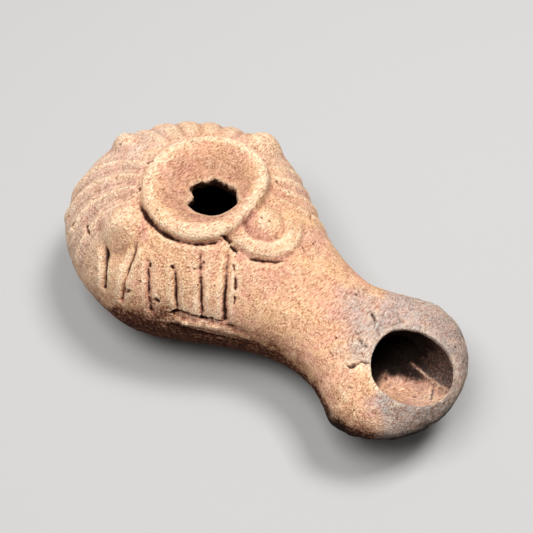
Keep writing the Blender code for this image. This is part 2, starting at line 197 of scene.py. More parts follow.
# Lines that run out from the ring: bearing of the first, step and sharpness, the bearings they fade in
# and out over, the distance they begin at, and how high a crest, or how deep a petal's groove, counts as
# level with the shoulder. Petals lie between the back and left knobs. Locks lie between the back and
# right ones, with hairs between them. Rays are worn crests on the left flank.
Lines = namedtuple("Lines", "first step sharp begins ends out level")
PETALS = Lines(99.9, 12.4, 6, (91.9, 99.9), (172.0, 168.0), (0.0170, 0.0210), 0.55)
LOCKS = Lines(194.5, 12.3, 4, (188.5, 193.5), (239.4, 231.4), (0.0160, 0.0190), 0.5)
RAYS = Lines(36.0, 11.6, 5, (30.0, 34.0), (78.0, 74.0), (0.0160, 0.0180), 0.3)
HAIRS, HAIR_SHIFT, HAIR_SHARP, HAIR_HEIGHT = 3.0, 0.6, 3, 0.22

# Locks sweep round towards the right as they run out.
LOCK_SWEEP = 8.5
LOCK_BEND, LOCK_EDGE = 0.0195, 0.0330
LOCK_MOST_BENT = 1.2

# Flutes down both flanks, from the front one to the back one: the bearing of its foot about the ring's
# centre, its direction in plan, the distance out at which it begins and how much depth it has kept.
FLUTES = (
    (41.0, 53.0, 0.0160, 1.1),
    (51.5, 48.0, 0.0160, 1.0),
    (63.0, 46.0, 0.0205, 0.9),
    (76.5, 45.0, 0.0212, 0.6),
    (91.0, 72.0, 0.0205, 0.9),
    (106.0, 56.0, 0.0262, 1.2),
)
FLUTE_FOOT_R = 0.0285
FLUTE_HALF = 0.0006
FLUTE_REACH = 0.02
FLUTE_BEGINS = 0.002
FLUTE_ENDS = (0.0216, 0.0222)
FLUTE_DEEPENS, FLUTE_FIRST_DEPTH = (-0.010, -0.002), 0.42
FLUTE_RAGGED = 0.00022
FLUTE_PATCHY, FLUTE_RANGE = 0.35, (0.6, 1.4)
# Across a flute, in half widths: depth, place and spread of the wide valley, the sharp one and two lips.
FLUTE_PROFILE = ((0.45, 0.0, 2.4), (0.7, 0.0, 0.65), (-0.26, -2.2, 0.8), (-0.14, 2.2, 0.8))
# What the left flank's flutes have kept of their depth.
LEFT_KEPT = 0.2

# Ledge of clay along the join, with a groove above it.
LEDGE_Z = 0.0206
LEDGE_HALF = 0.0007
LEDGE_FROM, LEDGE_TO = (0.006, 0.016), (0.034, 0.024)
LEDGE_FALLS, LEDGE_FALL = (0.014, 0.034), 0.0022
LEDGE_WANDER = 0.0005
LEDGE_CRUMBLY, LEDGE_RANGE = 0.8, (0.0, 1.6)
LEDGE_GROOVE, LEDGE_GROOVE_Z, LEDGE_GROOVE_HALF = 0.6, 0.0013, 0.0005

# Fold of clay across the well, from below its far side up to the rim at the tip.
FOLD_FROM = (0.0580, 0.0050)
FOLD_TO = (0.0714, 0.0006)
FOLD_HALF = 0.0007
FOLD_HEIGHT = 0.0008
FOLD_BEGINS = (0.0, 0.4)

# ---- damage and wear ----

# Strokes over the surface, in millimetres: the points they run through, half width and depth.
MM = 0.001
HAIR = 0.29
CRACKS = (
    # before and round the wick hole
    (((48.1, 2.9, 24.4), (49.4, 2.4, 24.3), (50.6, 1.5, 24.2)), 0.26, 1.2),
    (((52.0, 0.4, 24.1), (53.2, -0.7, 24.0)), HAIR, 0.5),
    (((48.2, -3.4, 24.4), (49.2, -3.8, 24.3)), 0.22, 0.6),
    (((50.2, -4.2, 24.1), (52.0, -4.9, 24.0), (53.2, -4.4, 23.9)), 0.28, 0.9),
    (((52.0, -11.0, 23.0), (53.0, -10.9, 23.0), (53.7, -9.4, 23.3), (54.3, -8.3, 23.5),
      (55.8, -7.6, 23.4)), 0.38, 1.3),
    (((52.4, 7.2, 23.5), (53.8, 6.1, 23.6), (55.0, 5.1, 23.6)), HAIR, 0.5),
    (((54.1, 10.8, 22.6), (54.8, 10.7, 22.6)), 0.4, 0.6),
    (((55.4, -14.6, 22.2), (56.6, -14.3, 22.3)), HAIR, 0.3),
    (((68.0, 0.7, 15.3), (69.0, -1.0, 16.2), (70.2, -3.6, 17.8)), 0.32, 0.5),
    # beside the boss: where the ring's edge hooks round, and along the band
    (((12.8, -8.7, 34.4), (13.3, -8.0, 33.8), (14.5, -7.4, 32.5), (15.6, -8.1, 31.9),
      (17.2, -7.9, 31.5), (17.8, -8.5, 31.3)), 0.36, 1.3),
    (((20.0, -7.6, 30.8), (22.0, -6.2, 30.3), (23.4, -5.0, 29.9), (25.1, -3.4, 29.5),
      (26.2, -1.6, 29.2)), 0.28, 0.9),
    (((16.0, 1.7, 33.0), (16.6, 1.8, 33.0)), 0.3, 0.3),
    (((17.6, 2.4, 32.7), (18.1, 2.4, 32.5)), 0.3, 0.3),
    (((20.0, 14.8, 26.2), (22.6, 12.5, 27.0)), 0.26, 0.5),
    # between the front flute and the smooth neck
    (((18.6, -10.6, 30.6), (19.8, -11.6, 30.0)), 0.28, 0.8),
    (((20.6, -12.3, 29.4), (21.7, -13.3, 28.6), (22.4, -14.4, 27.7)), 0.34, 1.0),
    (((22.9, -15.1, 27.0), (23.8, -16.6, 25.6)), HAIR, 0.7),
    # across the feet of the flutes
    (((12.2, -26.6, 22.5), (14.0, -25.2, 22.6), (15.5, -24.4, 22.7), (18.1, -22.7, 22.4),
      (20.7, -21.3, 22.1), (23.2, -19.5, 21.7)), 0.48, 1.1),
    (((8.6, -27.0, 25.2), (10.1, -26.6, 24.5)), 0.5, 0.7),
    (((1.5, -28.3, 25.0), (1.7, -29.3, 24.0), (2.5, -29.1, 24.4), (2.8, -28.4, 25.2)), 0.4, 0.7),
    (((3.9, -22.1, 30.2), (4.5, -23.0, 29.5)), 0.4, 0.4),
    (((8.2, -20.1, 30.8), (9.0, -20.4, 30.2)), 0.4, 0.4),
    # below the ledge, along the join
    (((12.3, -27.6, 20.0), (17.1, -24.6, 17.9), (22.1, -21.5, 16.6), (27.2, -18.6, 16.2)), 0.6, 0.6),
    # on the back of the right shoulder
    (((-19.0, -16.5, 29.9), (-19.8, -17.6, 29.0), (-19.7, -19.0, 28.9)), 0.46, 0.9),
    (((-21.0, -20.6, 27.5), (-20.7, -23.3, 25.2), (-21.1, -24.7, 23.0)), 0.4, 0.9),
    (((-17.1, -23.1, 27.4), (-15.1, -24.3, 27.6), (-14.1, -24.7, 27.6)), 0.46, 0.8),
    (((-13.7, -6.3, 34.4), (-14.1, -6.6, 34.3)), 0.4, 0.6),
    (((-10.8, -10.3, 34.1), (-10.2, -11.2, 34.5)), 0.4, 0.7),
    (((-18.7, -10.7, 32.5), (-18.3, -11.2, 32.4)), 0.32, 0.5),
    (((-13.2, -2.6, 35.7), (-14.5, -3.8, 34.5), (-15.2, -3.0, 34.2)), 0.32, 0.6),
    (((10.4, 14.1, 31.4), (11.5, 13.9, 31.0)), 0.5, 0.9),
)

# How a crack narrows to its ends and wavers in width, and how far its edges break away.
CRACK_ENDS = (0.0, 0.15)
CRACK_WIDTH, CRACK_WAVER = 0.75, 0.6
CRACK_EDGE = 1.6
CRACK_REACH = 3.0

# Hand-finished clay is rougher low down: finger marks as a share of the unevenness, how much rougher,
# and the pits' cell, seed, share of cells and their least strength.
LOW_DOWN = (0.026, 0.012)
FINGER_MARKS = 0.3
LOW_COARSER = 1.5
PIT_CELL, PIT_SEED, PIT_SHARE = 0.0024, 61, 0.14
PIT_LEAST = 0.4

# How far something stands proud or lies low before it is fully worn down, fully darkened with dirt and
# painted shade, or fully pale as a worn edge with painted highlight, and how many rounds of evening out
# it is measured against.
RUBBED_FULL = 0.00012
WEAR_PATCHY = 0.4
FINE_FULL, BROAD_FULL, EDGE_FULL = 0.00008, 0.00028, 0.00018
WEAR_ROUNDS, FINE_ROUNDS, BROAD_ROUNDS = 4, 3, 24

# Random fields: the size of their cells, their seed, and how many are laid over each other, each half
# as large and weaker. Those of the hole and the well lie on a ball of radius 1.
FINER, WEAKER = 0.5, 0.55
CELLS = 32
FIELDS = {
    "undercut": (0.0020, 15, 3),
    "flute edges": (0.0024, 25, 3),
    "flute depth": (0.0035, 27, 2),
    "ledge": (0.0035, 28, 2),
    "ledge crumbs": (0.0018, 29, 2),
    "filling hole": (0.35, 11, 3),
    "well": (0.5, 21, 3),
    "dark inside": (0.003, 23, 3),
    "hand finish": (0.014, 31, 2),
    "finger marks": (0.003, 41, 2),
    "coarse": (0.0012, 51, 2),
    "edge wear": (0.002, 71, 3),
    "crack width": (0.0008, 81, 3),
    "soot mottling": (0.0022, 90, 3),
    "soot along": (0.006, 91, 3),
    "soot across": (0.005, 92, 3),
    "hole wall": (0.0014, 93, 3),
    "scorch_and_shade": (0.004, 95, 3),
    "grime_and_shade": (0.004, 97, 3),
    "bloom": (0.007, 99, 3),
}


# ---- curves ----

def fair_curve(x, start, start_slope, start_pull, end, end_slope, end_pull, samples=200):
    """Height above x of a Bezier curve between two points, with a slope and a pull at each end."""
    t = np.linspace(0.0, 1.0, samples)[:, None]
    p0 = np.array(start)
    p3 = np.array(end)
    p1 = p0 + start_pull * np.array((1.0, start_slope))
    p2 = p3 - end_pull * np.array((1.0, end_slope))
    p = (1 - t) ** 3 * p0 + 3 * (1 - t) ** 2 * t * p1 + 3 * (1 - t) * t * t * p2 + t**3 * p3
    return np.interp(x, p[:, 0], p[:, 1])


def ease(none, full, x):
    """0 up to none, 1 from full on, and smooth between them. It fades out where full is the lower."""
    t = np.clip((x - none) / (full - none), 0.0, 1.0)
    return t * t * (3.0 - 2.0 * t)


def between(begins, ends, x):
    """1 between one fade in and one fade out."""
    return ease(*begins, x) * ease(*ends, x)


def blend(a, b, t):
    return a + (b - a) * t


def share_of(value, full):
    """The value as a share of what is full, from 0 to 1."""
    return np.clip(value / full, 0.0, 1.0)


def dome(u, fullness):
    """Height of a rounded form, 1 in the middle and 0 at its edge, where u is 1."""
    return np.maximum(1.0 - np.clip(u, 0.0, 1.0) ** fullness, 0.0) ** (1.0 / fullness)


def swell(u):
    """Height of a soft bump, 1 in the middle and fading out at its edge, where u is 1."""
    return np.maximum(1.0 - u * u, 0.0) ** 1.5


def bell(away, spread):
    """1 where away is 0, fading out on both sides of it."""
    return np.exp(-((away / spread) ** 2))


def bearing_of(x, y):
    """Degrees about the ring's centre, from 0 to 360, turning from the nozzle to the left."""
    return np.degrees(np.arctan2(y, x - RING_X)) % 360.0


def turn_from(bearing, middle):
    """Degrees from the bearing middle, between -180 and 180."""
    return (bearing - middle + 180.0) % 360.0 - 180.0


def along(x, line):
    """Height at x on a smooth line through a few points."""
    px, pz = np.array(line).T
    slope = np.gradient(pz, px)
    i = np.clip(np.searchsorted(px, x) - 1, 0, len(px) - 2)
    step = px[i + 1] - px[i]
    t = np.clip((x - px[i]) / step, 0.0, 1.0)
    from_left = pz[i] * (1 + 2 * t) + slope[i] * step * t
    from_right = pz[i + 1] * (3 - 2 * t) - slope[i + 1] * step * (1 - t)
    return from_left * (1 - t) ** 2 + from_right * t**2


# ---- random fields, the same on each run ----

def field(points, cell, seed):
    """Smooth random values from -1 to 1, over cells of the given size."""
    table = np.random.default_rng(seed).uniform(-1.0, 1.0, (CELLS, CELLS, CELLS))
    scaled = points / cell
    base = np.floor(scaled).astype(int)
    t = scaled - base
    t = t * t * (3.0 - 2.0 * t)
    total = 0.0
    for corner in itertools.product((0, 1), repeat=3):
        weight = np.prod(np.where(corner, t, 1.0 - t), axis=1)
        i, j, k = ((base + corner) % CELLS).T
        total = total + weight * table[i, j, k]
    return total


def rough(points, name):
    """Values of a named random field, with finer ones laid over coarser ones."""
    cell, seed, octaves = FIELDS[name]
    return sum(field(points, cell * FINER**n, seed + n) * WEAKER**n for n in range(octaves))


def pits(points):
    """Depth, 0 to 1, of round pits of all sizes, in a share of the cells of space."""
    rng = np.random.default_rng(PIT_SEED)
    spots = rng.uniform(0.1, 0.9, (CELLS, CELLS, CELLS, 3))
    sizes = np.maximum(rng.uniform(0.0, 1.0, (CELLS, CELLS, CELLS)) - 1.0 + PIT_SHARE, 0.0) / PIT_SHARE
    base = np.floor(points / PIT_CELL).astype(int)
    deepest = np.zeros(len(points))
    for step in itertools.product((-1, 0, 1), repeat=3):
        index = base + step
        i, j, k = (index % CELLS).T
        away = np.linalg.norm((index + spots[i, j, k]) * PIT_CELL - points, axis=1)
        radius = 0.5 * PIT_CELL * sizes[i, j, k]
        pit = sizes[i, j, k] * dome(away / np.maximum(radius, 1e-9), 2.0)
        deepest = np.maximum(deepest, pit)
    return deepest


# ---- the plain form ----

def half_width(x, side):
    """Half width of one side, round the bowl, along the neck, out to the fluke and round to the tip."""
    neck = (NECK_X, side.neck)
    pull_out, pull_in = (pull * (side.fluke_x - NECK_X) for pull in FLUKE_PULLS)
    back = side.bowl * dome((BOWL_X - x) / BOWL_BACK, side.bowl_fullness)
    front = fair_curve(x, (BOWL_X, side.bowl), 0.0, SHOULDER_PULL, neck, side.slope, NECK_PULL)
    fluke = fair_curve(x, neck, side.slope, pull_out, (side.fluke_x, side.fluke), side.flare, pull_in)
    end = side.fluke * dome((x - side.fluke_x) / (TIP_X - side.fluke_x), side.end_fullness)
    return np.select([x < BOWL_X, x < NECK_X, x < side.fluke_x], [back, front, fluke], end)


def profile(x):
    """Half widths to the right and left, top, underside, join and middle line at each x."""
    join = blend(JOIN_Z, NOZZLE_JOIN_Z, ease(*JOIN_FALLS, x))
    u = np.abs(x - BOWL_X) / np.where(x < BOWL_X, BOWL_BACK, DOME_REACH)
    top = blend(JOIN_Z, DOME_Z, dome(u, DOME_FULLNESS))
    under = blend(JOIN_Z, -BOWL_BELOW_FOOT, dome(u, UNDER_FULLNESS))
    tip = np.clip((x - (TIP_X - END_ROUNDING)) / END_ROUNDING, 0.0, 1.0)
    drawn_in = END_DRAWN_IN * (1.0 - np.sqrt(1.0 - tip * tip))
    nozzle = ease(*NOZZLE_HEIGHTS, x)
    top = blend(top, blend(along(x, NOZZLE_TOP), join, drawn_in), nozzle)
    under = blend(under, blend(along(x, NOZZLE_UNDER), join, drawn_in), nozzle)
    middle = BOWL_Y * ease(*BOWL_MIDDLE, x) + TIP_SHIFT_Y * ease(*TIP_MIDDLE, x)
    return half_width(x, RIGHT), half_width(x, LEFT), top, under, join, middle


def section(x, angle, right, left, top, under, join, middle):
    """Points round the lamp's cross-section at x, at an angle from its left side."""
    c, s = np.cos(angle), np.sin(angle)
    nozzle = ease(*NOZZLE_FULLER, x)
    above, below = (bowl + more * nozzle for bowl, more in (ABOVE_FULLNESS, BELOW_FULLNESS))
    power = np.where(s > 0, above, below)
    across = np.sign(c) * np.abs(c) ** (2.0 / power)
    height = np.sign(s) * np.abs(s) ** (2.0 / power)
    y = middle + across * np.where(across > 0, left, right)
    z = join + height * np.where(height > 0, top - join, join - under)
    return np.stack([x, y, z], axis=1)


# ---- relief ----

def ring_edges(bearing):
    """Distances from the ring's centre to its crest and its outer edge, squeezed in beside the boss."""
    squeezed = bell(turn_from(bearing, SQUEEZE_BEARING), SQUEEZE_SPREAD)
    outer = RING_OUTER_R * (1.0 - SQUEEZE * squeezed)
    thinned = LIP_THINNED * np.cos(np.radians(bearing - THIN_BEARING))
    return outer - RING_LIP * (1.0 - thinned) * (1.0 - LIP_SQUEEZE * squeezed), outer


def ring_and_dish(r, crest, outer, z):
    """Rise of the top, at distance r from the ring's centre, to the ring and the dish within it."""
    sunk = (1.0 - np.minimum(r / crest, 1.0) ** DISH_FULLNESS) ** DISH_FLARE
    dish = blend(RING_CREST_Z, DISH_FLOOR_Z, sunk)
    lip = blend(RING_SEAT_Z, RING_CREST_Z, dome((r - crest) / (outer - crest), LIP_FULLNESS))
    return np.where(r < outer, np.where(r < crest, dish, lip) - z, 0.0)


def undercut(points, bearing, past_ring, depth):
    """A ragged gap below the near edge of the ring."""
    ragged = np.clip(1.0 + UNDERCUT_RAGGED * rough(points, "undercut"), *UNDERCUT_RANGE)
    run = between(UNDERCUT_FROM, UNDERCUT_TO, bearing)
    return -depth * ragged * run * bell(past_ring - UNDERCUT_OUT, UNDERCUT_HALF)


def boss_and_band(x, y, past_ring, height):
    """A button with a sloping band round it, sharp-edged on the right and worn away on the left."""
    r = np.hypot(x - BOSS_X, y - BOSS_Y)
    bearing = np.degrees(np.arctan2(y - BOSS_Y, x - BOSS_X))
    button = BOSS_RISE * swell(r / BOSS_R)
    shelf = 1.0 - BAND_SLOPE * ease(*BAND_SLOPES, r)
    worn = 1.0 - BAND_WEAR * ease(*BAND_WORN, bearing)
    band = between(BAND_RISES, BAND_FALLS, r) * shelf * worn
    return height * ease(*BAND_CLEAR, past_ring) * (button + band)


def knobs(x, y):
    rise = 0.0
    for bearing, distance, radius, height in KNOBS:
        kx = RING_X + distance * math.cos(math.radians(bearing))
        ky = distance * math.sin(math.radians(bearing))
        rise = rise + height * swell(np.hypot(x - kx, y - ky) / radius)
    return rise


def phase_of(bearing, lines):
    return math.pi * (bearing - lines.first) / lines.step


def crests(phase, sharp):
    """1 on each line, and 0 midway between two."""
    return np.abs(np.cos(phase)) ** sharp


def whole(bearing, r, lines):
    """1 where a set of lines is whole, fading out past its ends and beside the ring."""
    return between(lines.begins, lines.ends, bearing) * ease(*lines.out, r)


def petals(bearing, r, depth):
    """Rounded tongues side by side, parted by grooves that run down the shoulder."""
    valley = crests(phase_of(bearing, PETALS), PETALS.sharp)
    return depth * (PETALS.level - valley) * whole(bearing, r, PETALS)


def locks(bearing, r, height):
    """Hair-like locks: soft crests that run outward from the ring, with finer lines between."""
    bend = np.clip((r - LOCK_BEND) / (LOCK_EDGE - LOCK_BEND), 0.0, LOCK_MOST_BENT)
    swept = bearing - LOCK_SWEEP * bend**2
    phase = phase_of(swept, LOCKS)
    crest = crests(phase, LOCKS.sharp) + HAIR_HEIGHT * crests(HAIRS * phase + HAIR_SHIFT, HAIR_SHARP)
    return height * (crest - LOCKS.level) * whole(swept, r, LOCKS)


def rays(bearing, r, height):
    """Worn crests that run straight out from the ring over the left flank."""
    crest = crests(phase_of(bearing, RAYS), RAYS.sharp)
    return height * (crest - RAYS.level) * whole(bearing, r, RAYS)


def flutes(x, y, z, r, side, depth):
    """Straight grooves down one flank, side 1 on the right and -1 on the left, with ribs between."""
    cut = 0.0
    for foot_bearing, direction, begins, kept in FLUTES:
        run = math.radians(direction)
        foot = math.radians(foot_bearing)
        dx = x - RING_X - FLUTE_FOOT_R * math.cos(foot)
        dy = -side * y - FLUTE_FOOT_R * math.sin(foot)
        across = dx * math.sin(run) - dy * math.cos(run)
        down = dx * math.cos(run) + dy * math.sin(run)
        place_on = np.stack([across, down, z], axis=1)
        across = across + FLUTE_RAGGED * rough(place_on, "flute edges")
        patchy = np.clip(1.0 + FLUTE_PATCHY * rough(place_on, "flute depth"), *FLUTE_RANGE)
        deeper = blend(FLUTE_FIRST_DEPTH, 1.0, ease(*FLUTE_DEEPENS, down)) * (down > -FLUTE_REACH)
        shape = 0.0
        for part, at, spread in FLUTE_PROFILE:
            shape = shape + part * bell(across - at * FLUTE_HALF, spread * FLUTE_HALF)
        cut = cut + kept * patchy * deeper * shape * ease(begins, begins + FLUTE_BEGINS, r)
    return -depth * cut * (side * y < 0) * ease(*FLUTE_ENDS, z)


def ledge(x, y, z, height):
    """Clay squeezed out of the join, left along the front of the right flank."""
    run = between(LEDGE_FROM, LEDGE_TO, x) * (y < 0)
    place_on = np.stack([x, y, z], axis=1)
    away = z - LEDGE_Z + LEDGE_FALL * ease(*LEDGE_FALLS, x) - LEDGE_WANDER * rough(place_on, "ledge")
    crumbly = np.clip(LEDGE_CRUMBLY * (1.0 + rough(place_on, "ledge crumbs")), *LEDGE_RANGE)
    groove = LEDGE_GROOVE * bell(away - LEDGE_GROOVE_Z, LEDGE_GROOVE_HALF)
    return height * run * crumbly * (bell(away, LEDGE_HALF) - groove)


# ---- working on a mesh's points ----

def read(items, name, width, kind=float):
    """One property of all the items, as rows of the given width."""
    values = np.empty(len(items) * width, kind)
    items.foreach_get(name, values)
    return values.reshape(-1, width)


def points_of(mesh):
    return read(mesh.vertices, "co", 3)


def normals_of(mesh):
    return read(mesh.vertices, "normal", 3)


def place(mesh, points):
    mesh.vertices.foreach_set("co", points.ravel())
    mesh.update()


def store(mesh, name, values):
    attribute = mesh.attributes.new(name, "FLOAT", "POINT")
    attribute.data.foreach_set("value", np.clip(values, 0.0, 1.0).astype(np.float32))


def evened(mesh, values, rounds):
    """Each point's values averaged with its neighbours', again and again."""
    a, b = read(mesh.edges, "vertices", 2, np.int32).T
    count = len(mesh.vertices)
    shares = 1.0 + np.bincount(a, minlength=count) + np.bincount(b, minlength=count)
    for _ in range(rounds):
        columns = []
        for column in values.T:
            total = column + np.bincount(a, column[b], count) + np.bincount(b, column[a], count)
            columns.append(total / shares)
        values = np.stack(columns, axis=1)
    return values


def hollowness(mesh, rounds):
    """How far each point lies below its neighbourhood, in metres: above 0 in a groove."""
    points = points_of(mesh)
    return np.sum((evened(mesh, points, rounds) - points) * normals_of(mesh), axis=1)


def near_line(points, line, reach):
    """Indices of the points within reach of a line, their distances and how far along it they lie."""
    line = np.array(line)
    low, high = line.min(axis=0) - reach, line.max(axis=0) + reach
    index = np.flatnonzero(np.all((points > low) & (points < high), axis=1))
    near = points[index]
    lengths = np.linalg.norm(np.diff(line, axis=0), axis=1)
    starts = np.concatenate([[0.0], np.cumsum(lengths)])
    best = np.full(len(near), reach)
    run = np.zeros(len(near))
    for start, end, length, begin in zip(line, line[1:], lengths, starts):
        t = np.clip((near - start) @ (end - start) / length**2, 0.0, 1.0)
        away = np.linalg.norm(near - start - t[:, None] * (end - start), axis=1)
        closer = away < best
        best = np.where(closer, away, best)
        run = np.where(closer, (begin + t * length) / starts[-1], run)
    kept = best < reach
    return index[kept], best[kept], run[kept]


def on_surface(tree, line, step=0.0004):
    """A line through a few points near the surface, as close-set points lying on it."""
    line = np.array(line)
    lengths = np.concatenate([[0.0], np.cumsum(np.linalg.norm(np.diff(line, axis=0), axis=1))])
    count = max(3, int(lengths[-1] / step))
    even = np.linspace(0.0, lengths[-1], count)
    spread = np.stack([np.interp(even, lengths, axis) for axis in line.T], axis=1)
    return [tuple(tree.find_nearest(Vector(p))[0]) for p in spread]


# ---- making the mesh ----

def only(obj):
    """Select one object and make it the active one."""
    bpy.ops.object.select_all(action="DESELECT")
    obj.select_set(True)
    bpy.context.view_layer.objects.active = obj


def added(operator, **settings):
    """What an operator adds, as the one selected object."""
    bpy.ops.object.select_all(action="DESELECT")
    operator(**settings)
    return bpy.context.object


def sphere(name, segments, rings, cuts=0):
    """A ball of radius 1 with its poles on X and its turn applied, its edges cut in more pieces."""
    obj = added(
        bpy.ops.mesh.primitive_uv_sphere_add,
        segments=segments, ring_count=rings, radius=1.0, rotation=(0.0, 0.5 * math.pi, 0.0),
    )
    bpy.ops.object.transform_apply(location=False, rotation=True, scale=False)
    obj.name = name
    if cuts:
        bpy.ops.object.mode_set(mode="EDIT")
        bpy.ops.mesh.select_all(action="SELECT")
        bpy.ops.mesh.subdivide(number_cuts=cuts)
        bpy.ops.object.mode_set(mode="OBJECT")
    return obj


def apply_modifier(obj, name, kind, **settings):
    """Add a modifier with these settings and apply it."""
    only(obj)
    modifier = obj.modifiers.new(name, kind)
    for key, value in settings.items():
        setattr(modifier, key, value)
    bpy.ops.object.modifier_apply(modifier=modifier.name)


def cut(body, cutter):
    """Take the cutter's shape out of the body, and delete the cutter."""
    apply_modifier(body, "cut", "BOOLEAN", operation="DIFFERENCE", solver="EXACT", object=cutter)
    bpy.data.objects.remove(cutter, do_unlink=True)


def drawn_out(obj, first, last):
    """Stations along X and angles round it that a ball's points are brought to."""
    points = points_of(obj.data)
    x = first + (last - first) * (0.5 + 0.5 * np.clip(points[:, 0], -1.0, 1.0))
    return x, np.arctan2(points[:, 2], points[:, 1])


def plain_lamp():
    lamp = sphere("lamp_clay", segments=130, rings=140, cuts=3)
    x, angle = drawn_out(lamp, BOWL_X - BOWL_BACK, TIP_X)
    place(lamp.data, section(x, angle, *profile(x)))
    return lamp


def press_ornament(lamp, relief):
    """Raise the ring, boss, knobs, petals, locks, rays and flutes on the plain form."""
    points = points_of(lamp.data)
    normals = normals_of(lamp.data)
    x, y, z = points.T
    r = np.hypot(x - RING_X, y)
    bearing = bearing_of(x, y)
    crest, outer = ring_edges(bearing)
    knob = knobs(x, y)
    lines = petals(bearing, r, relief.petal_depth) + locks(bearing, r, relief.lock_height)
    for side, kept in ((1.0, 1.0), (-1.0, LEFT_KEPT)):
        lines = lines + kept * flutes(x, y, z, r, side, relief.flute_depth)
    lines = lines + rays(bearing, r, relief.ray_height)
    shoulder = knob + lines * ease(*KNOB_CLEARS, knob)
    shoulder = shoulder + boss_and_band(x, y, r - outer, relief.boss_height)
    shoulder = shoulder + undercut(points, bearing, r - outer, relief.undercut)
    move = shoulder * ease(*ON_SHOULDER, z) + ledge(x, y, z, relief.ledge_height)
    points[:, 2] += ring_and_dish(r, crest, outer, z) * (z > RING_ABOVE)
    points += normals * move[:, None]
    place(lamp.data, points)


def hollow():
    """The inside, one wall thickness within the outside, from the bowl through the neck to the well."""
    core = sphere("hollow", segments=96, rings=160)
    first = BOWL_X - BOWL_BACK
    x, angle = drawn_out(core, first + WALL, CHANNEL_END_X)
    outside = first + (x - first - WALL) * (CHANNEL_END_X - first) / (CHANNEL_END_X - first - WALL)
    right, left, top, under, join, middle = profile(outside)
    neck_begins = NOZZLE_TOP[0][0]
    narrow = ease(neck_begins, NECK_X, x)
    right, left = (np.maximum(blend(side - WALL, CHANNEL_HALF, narrow), 0.0) for side in (right, left))
    under = np.maximum(under, 0.0) + np.where(x < neck_begins, FLOOR, WALL)
    top = np.maximum(np.minimum(top - WALL, DISH_FLOOR_Z - DISH_WALL), join)
    nose = dome((x - CHANNEL_END_X + CHANNEL_NOSE) / CHANNEL_NOSE, 2.0)
    top, under = blend(join, top, nose), blend(join, np.minimum(under, join), nose)
    place(core.data, section(x, angle, right * nose, left * nose, top, under, join, middle))
    return core


def lobe(bearing, height, middle, spread):
    return height * bell(turn_from(bearing, middle), spread)


def filling_hole():
    """A hole with a broken edge: a tongue of the disc is left in it at the back right."""
    hole = added(
        bpy.ops.mesh.primitive_cylinder_add,
        vertices=180, radius=1.0, depth=HOLE_DEPTH, location=(0.0, 0.0, HOLE_MIDDLE_Z),
    )
    bpy.ops.object.transform_apply(location=True, rotation=False, scale=False)
    points = points_of(hole.data)
    a = np.arctan2(points[:, 1], points[:, 0])
    oval = FILL_OVAL * np.cos(2.0 * a - math.radians(FILL_OVAL_BEARING))
    broken = lobe(np.degrees(a), *FILL_NOTCH) - lobe(np.degrees(a), *FILL_TONGUE)
    around = np.stack([np.cos(a), np.sin(a), np.zeros(len(a))], axis=1)
    more = FILL_LEAST_RAGGED + ease(*FILL_MORE_RAGGED, np.sin(a))
    ragged = FILL_RAGGED * rough(around, "filling hole") * more
    r = FILL_R * (1.0 + oval + FILL_RIPPLE * np.sin(FILL_RIPPLES * a) + broken + ragged)
    points[:, 0] = FILL_X + r * np.cos(a)
    points[:, 1] = FILL_Y + r * np.sin(a)
    place(hole.data, points)
    return hole


def past_fold(x, y):
    """How far a point lies past the fold, on its far side, in plan."""
    run = np.subtract(FOLD_TO, FOLD_FROM)
    return ((y - FOLD_FROM[1]) * run[0] - (x - FOLD_FROM[0]) * run[1]) / np.hypot(*run)


def wick_well():
    """The well under the wick hole, with its deepest place towards the channel."""
    well = added(bpy.ops.mesh.primitive_uv_sphere_add, segments=128, ring_count=96, radius=1.0)
    points = points_of(well.data)
    a = np.arctan2(points[:, 1], points[:, 0])
    u = np.minimum(np.hypot(points[:, 0], points[:, 1]), 1.0)
    away = 0.5 - 0.5 * np.cos(a - math.radians(WELL_SLOPE_BEARING))
    fullness = blend(WELL_SLOPE_FULLNESS, WELL_STEEP_FULLNESS, away)
    rim_z = WICK_RIM_Z - WICK_RIM_DROP * (0.5 + 0.5 * np.cos(a) * u) ** 2
    sunk = np.where(points[:, 2] < 0.0, dome(u, fullness), 0.0)
    reach = WICK_R * (1.0 + WELL_UNEVEN * rough(points, "well")) * u
    x = WICK_X + reach * np.cos(a) - WELL_SHIFT * sunk
    y = WICK_Y + reach * np.sin(a)
    z = blend(rim_z + np.maximum(points[:, 2], 0.0) * WICK_R, WELL_FLOOR_Z, sunk)
    z = z + FOLD_HEIGHT * bell(past_fold(x, y), FOLD_HALF) * ease(*FOLD_BEGINS, sunk)
    place(well.data, np.stack([x, y, z], axis=1))
    return well


def below_foot(size=0.08):
    """What lies below the foot's plane."""
    return added(bpy.ops.mesh.primitive_cube_add, size=size, location=(0.0, 0.0, -0.5 * size))


def move_skin(mesh, points, move):
    """Move points along their normals, but none below the foot."""
    points = points + normals_of(mesh) * move[:, None]
    points[:, 2] = np.maximum(points[:, 2], 0.0)
    place(mesh, points)


def handle_roughly(lamp, wear):
    """The slight unevenness of hand-finished clay, and a surface worn coarse."""
    points = points_of(lamp.data)
    low_down = ease(*LOW_DOWN, points[:, 2])
    move = wear.unevenness * rough(points, "hand finish")
    move += FINGER_MARKS * wear.unevenness * rough(points, "finger marks") * (1.0 + low_down)
    move += wear.coarseness * rough(points, "coarse") * (1.0 + LOW_COARSER * low_down)
    move -= wear.pit_depth * pits(points) * blend(PIT_LEAST, 1.0, low_down)
    move_skin(lamp.data, points, move * (1.0 - dark_inside(points)))


def wear_edges(lamp, wear):
    """Rub down what stands proud and break the sharp rims a little."""
    points = points_of(lamp.data)
    proud = share_of(-hollowness(lamp.data, WEAR_ROUNDS), RUBBED_FULL)
    patchy = 1.0 + WEAR_PATCHY * (rough(points, "edge wear") - 1.0)
    move_skin(lamp.data, points, -wear.edge_wear * proud * patchy)


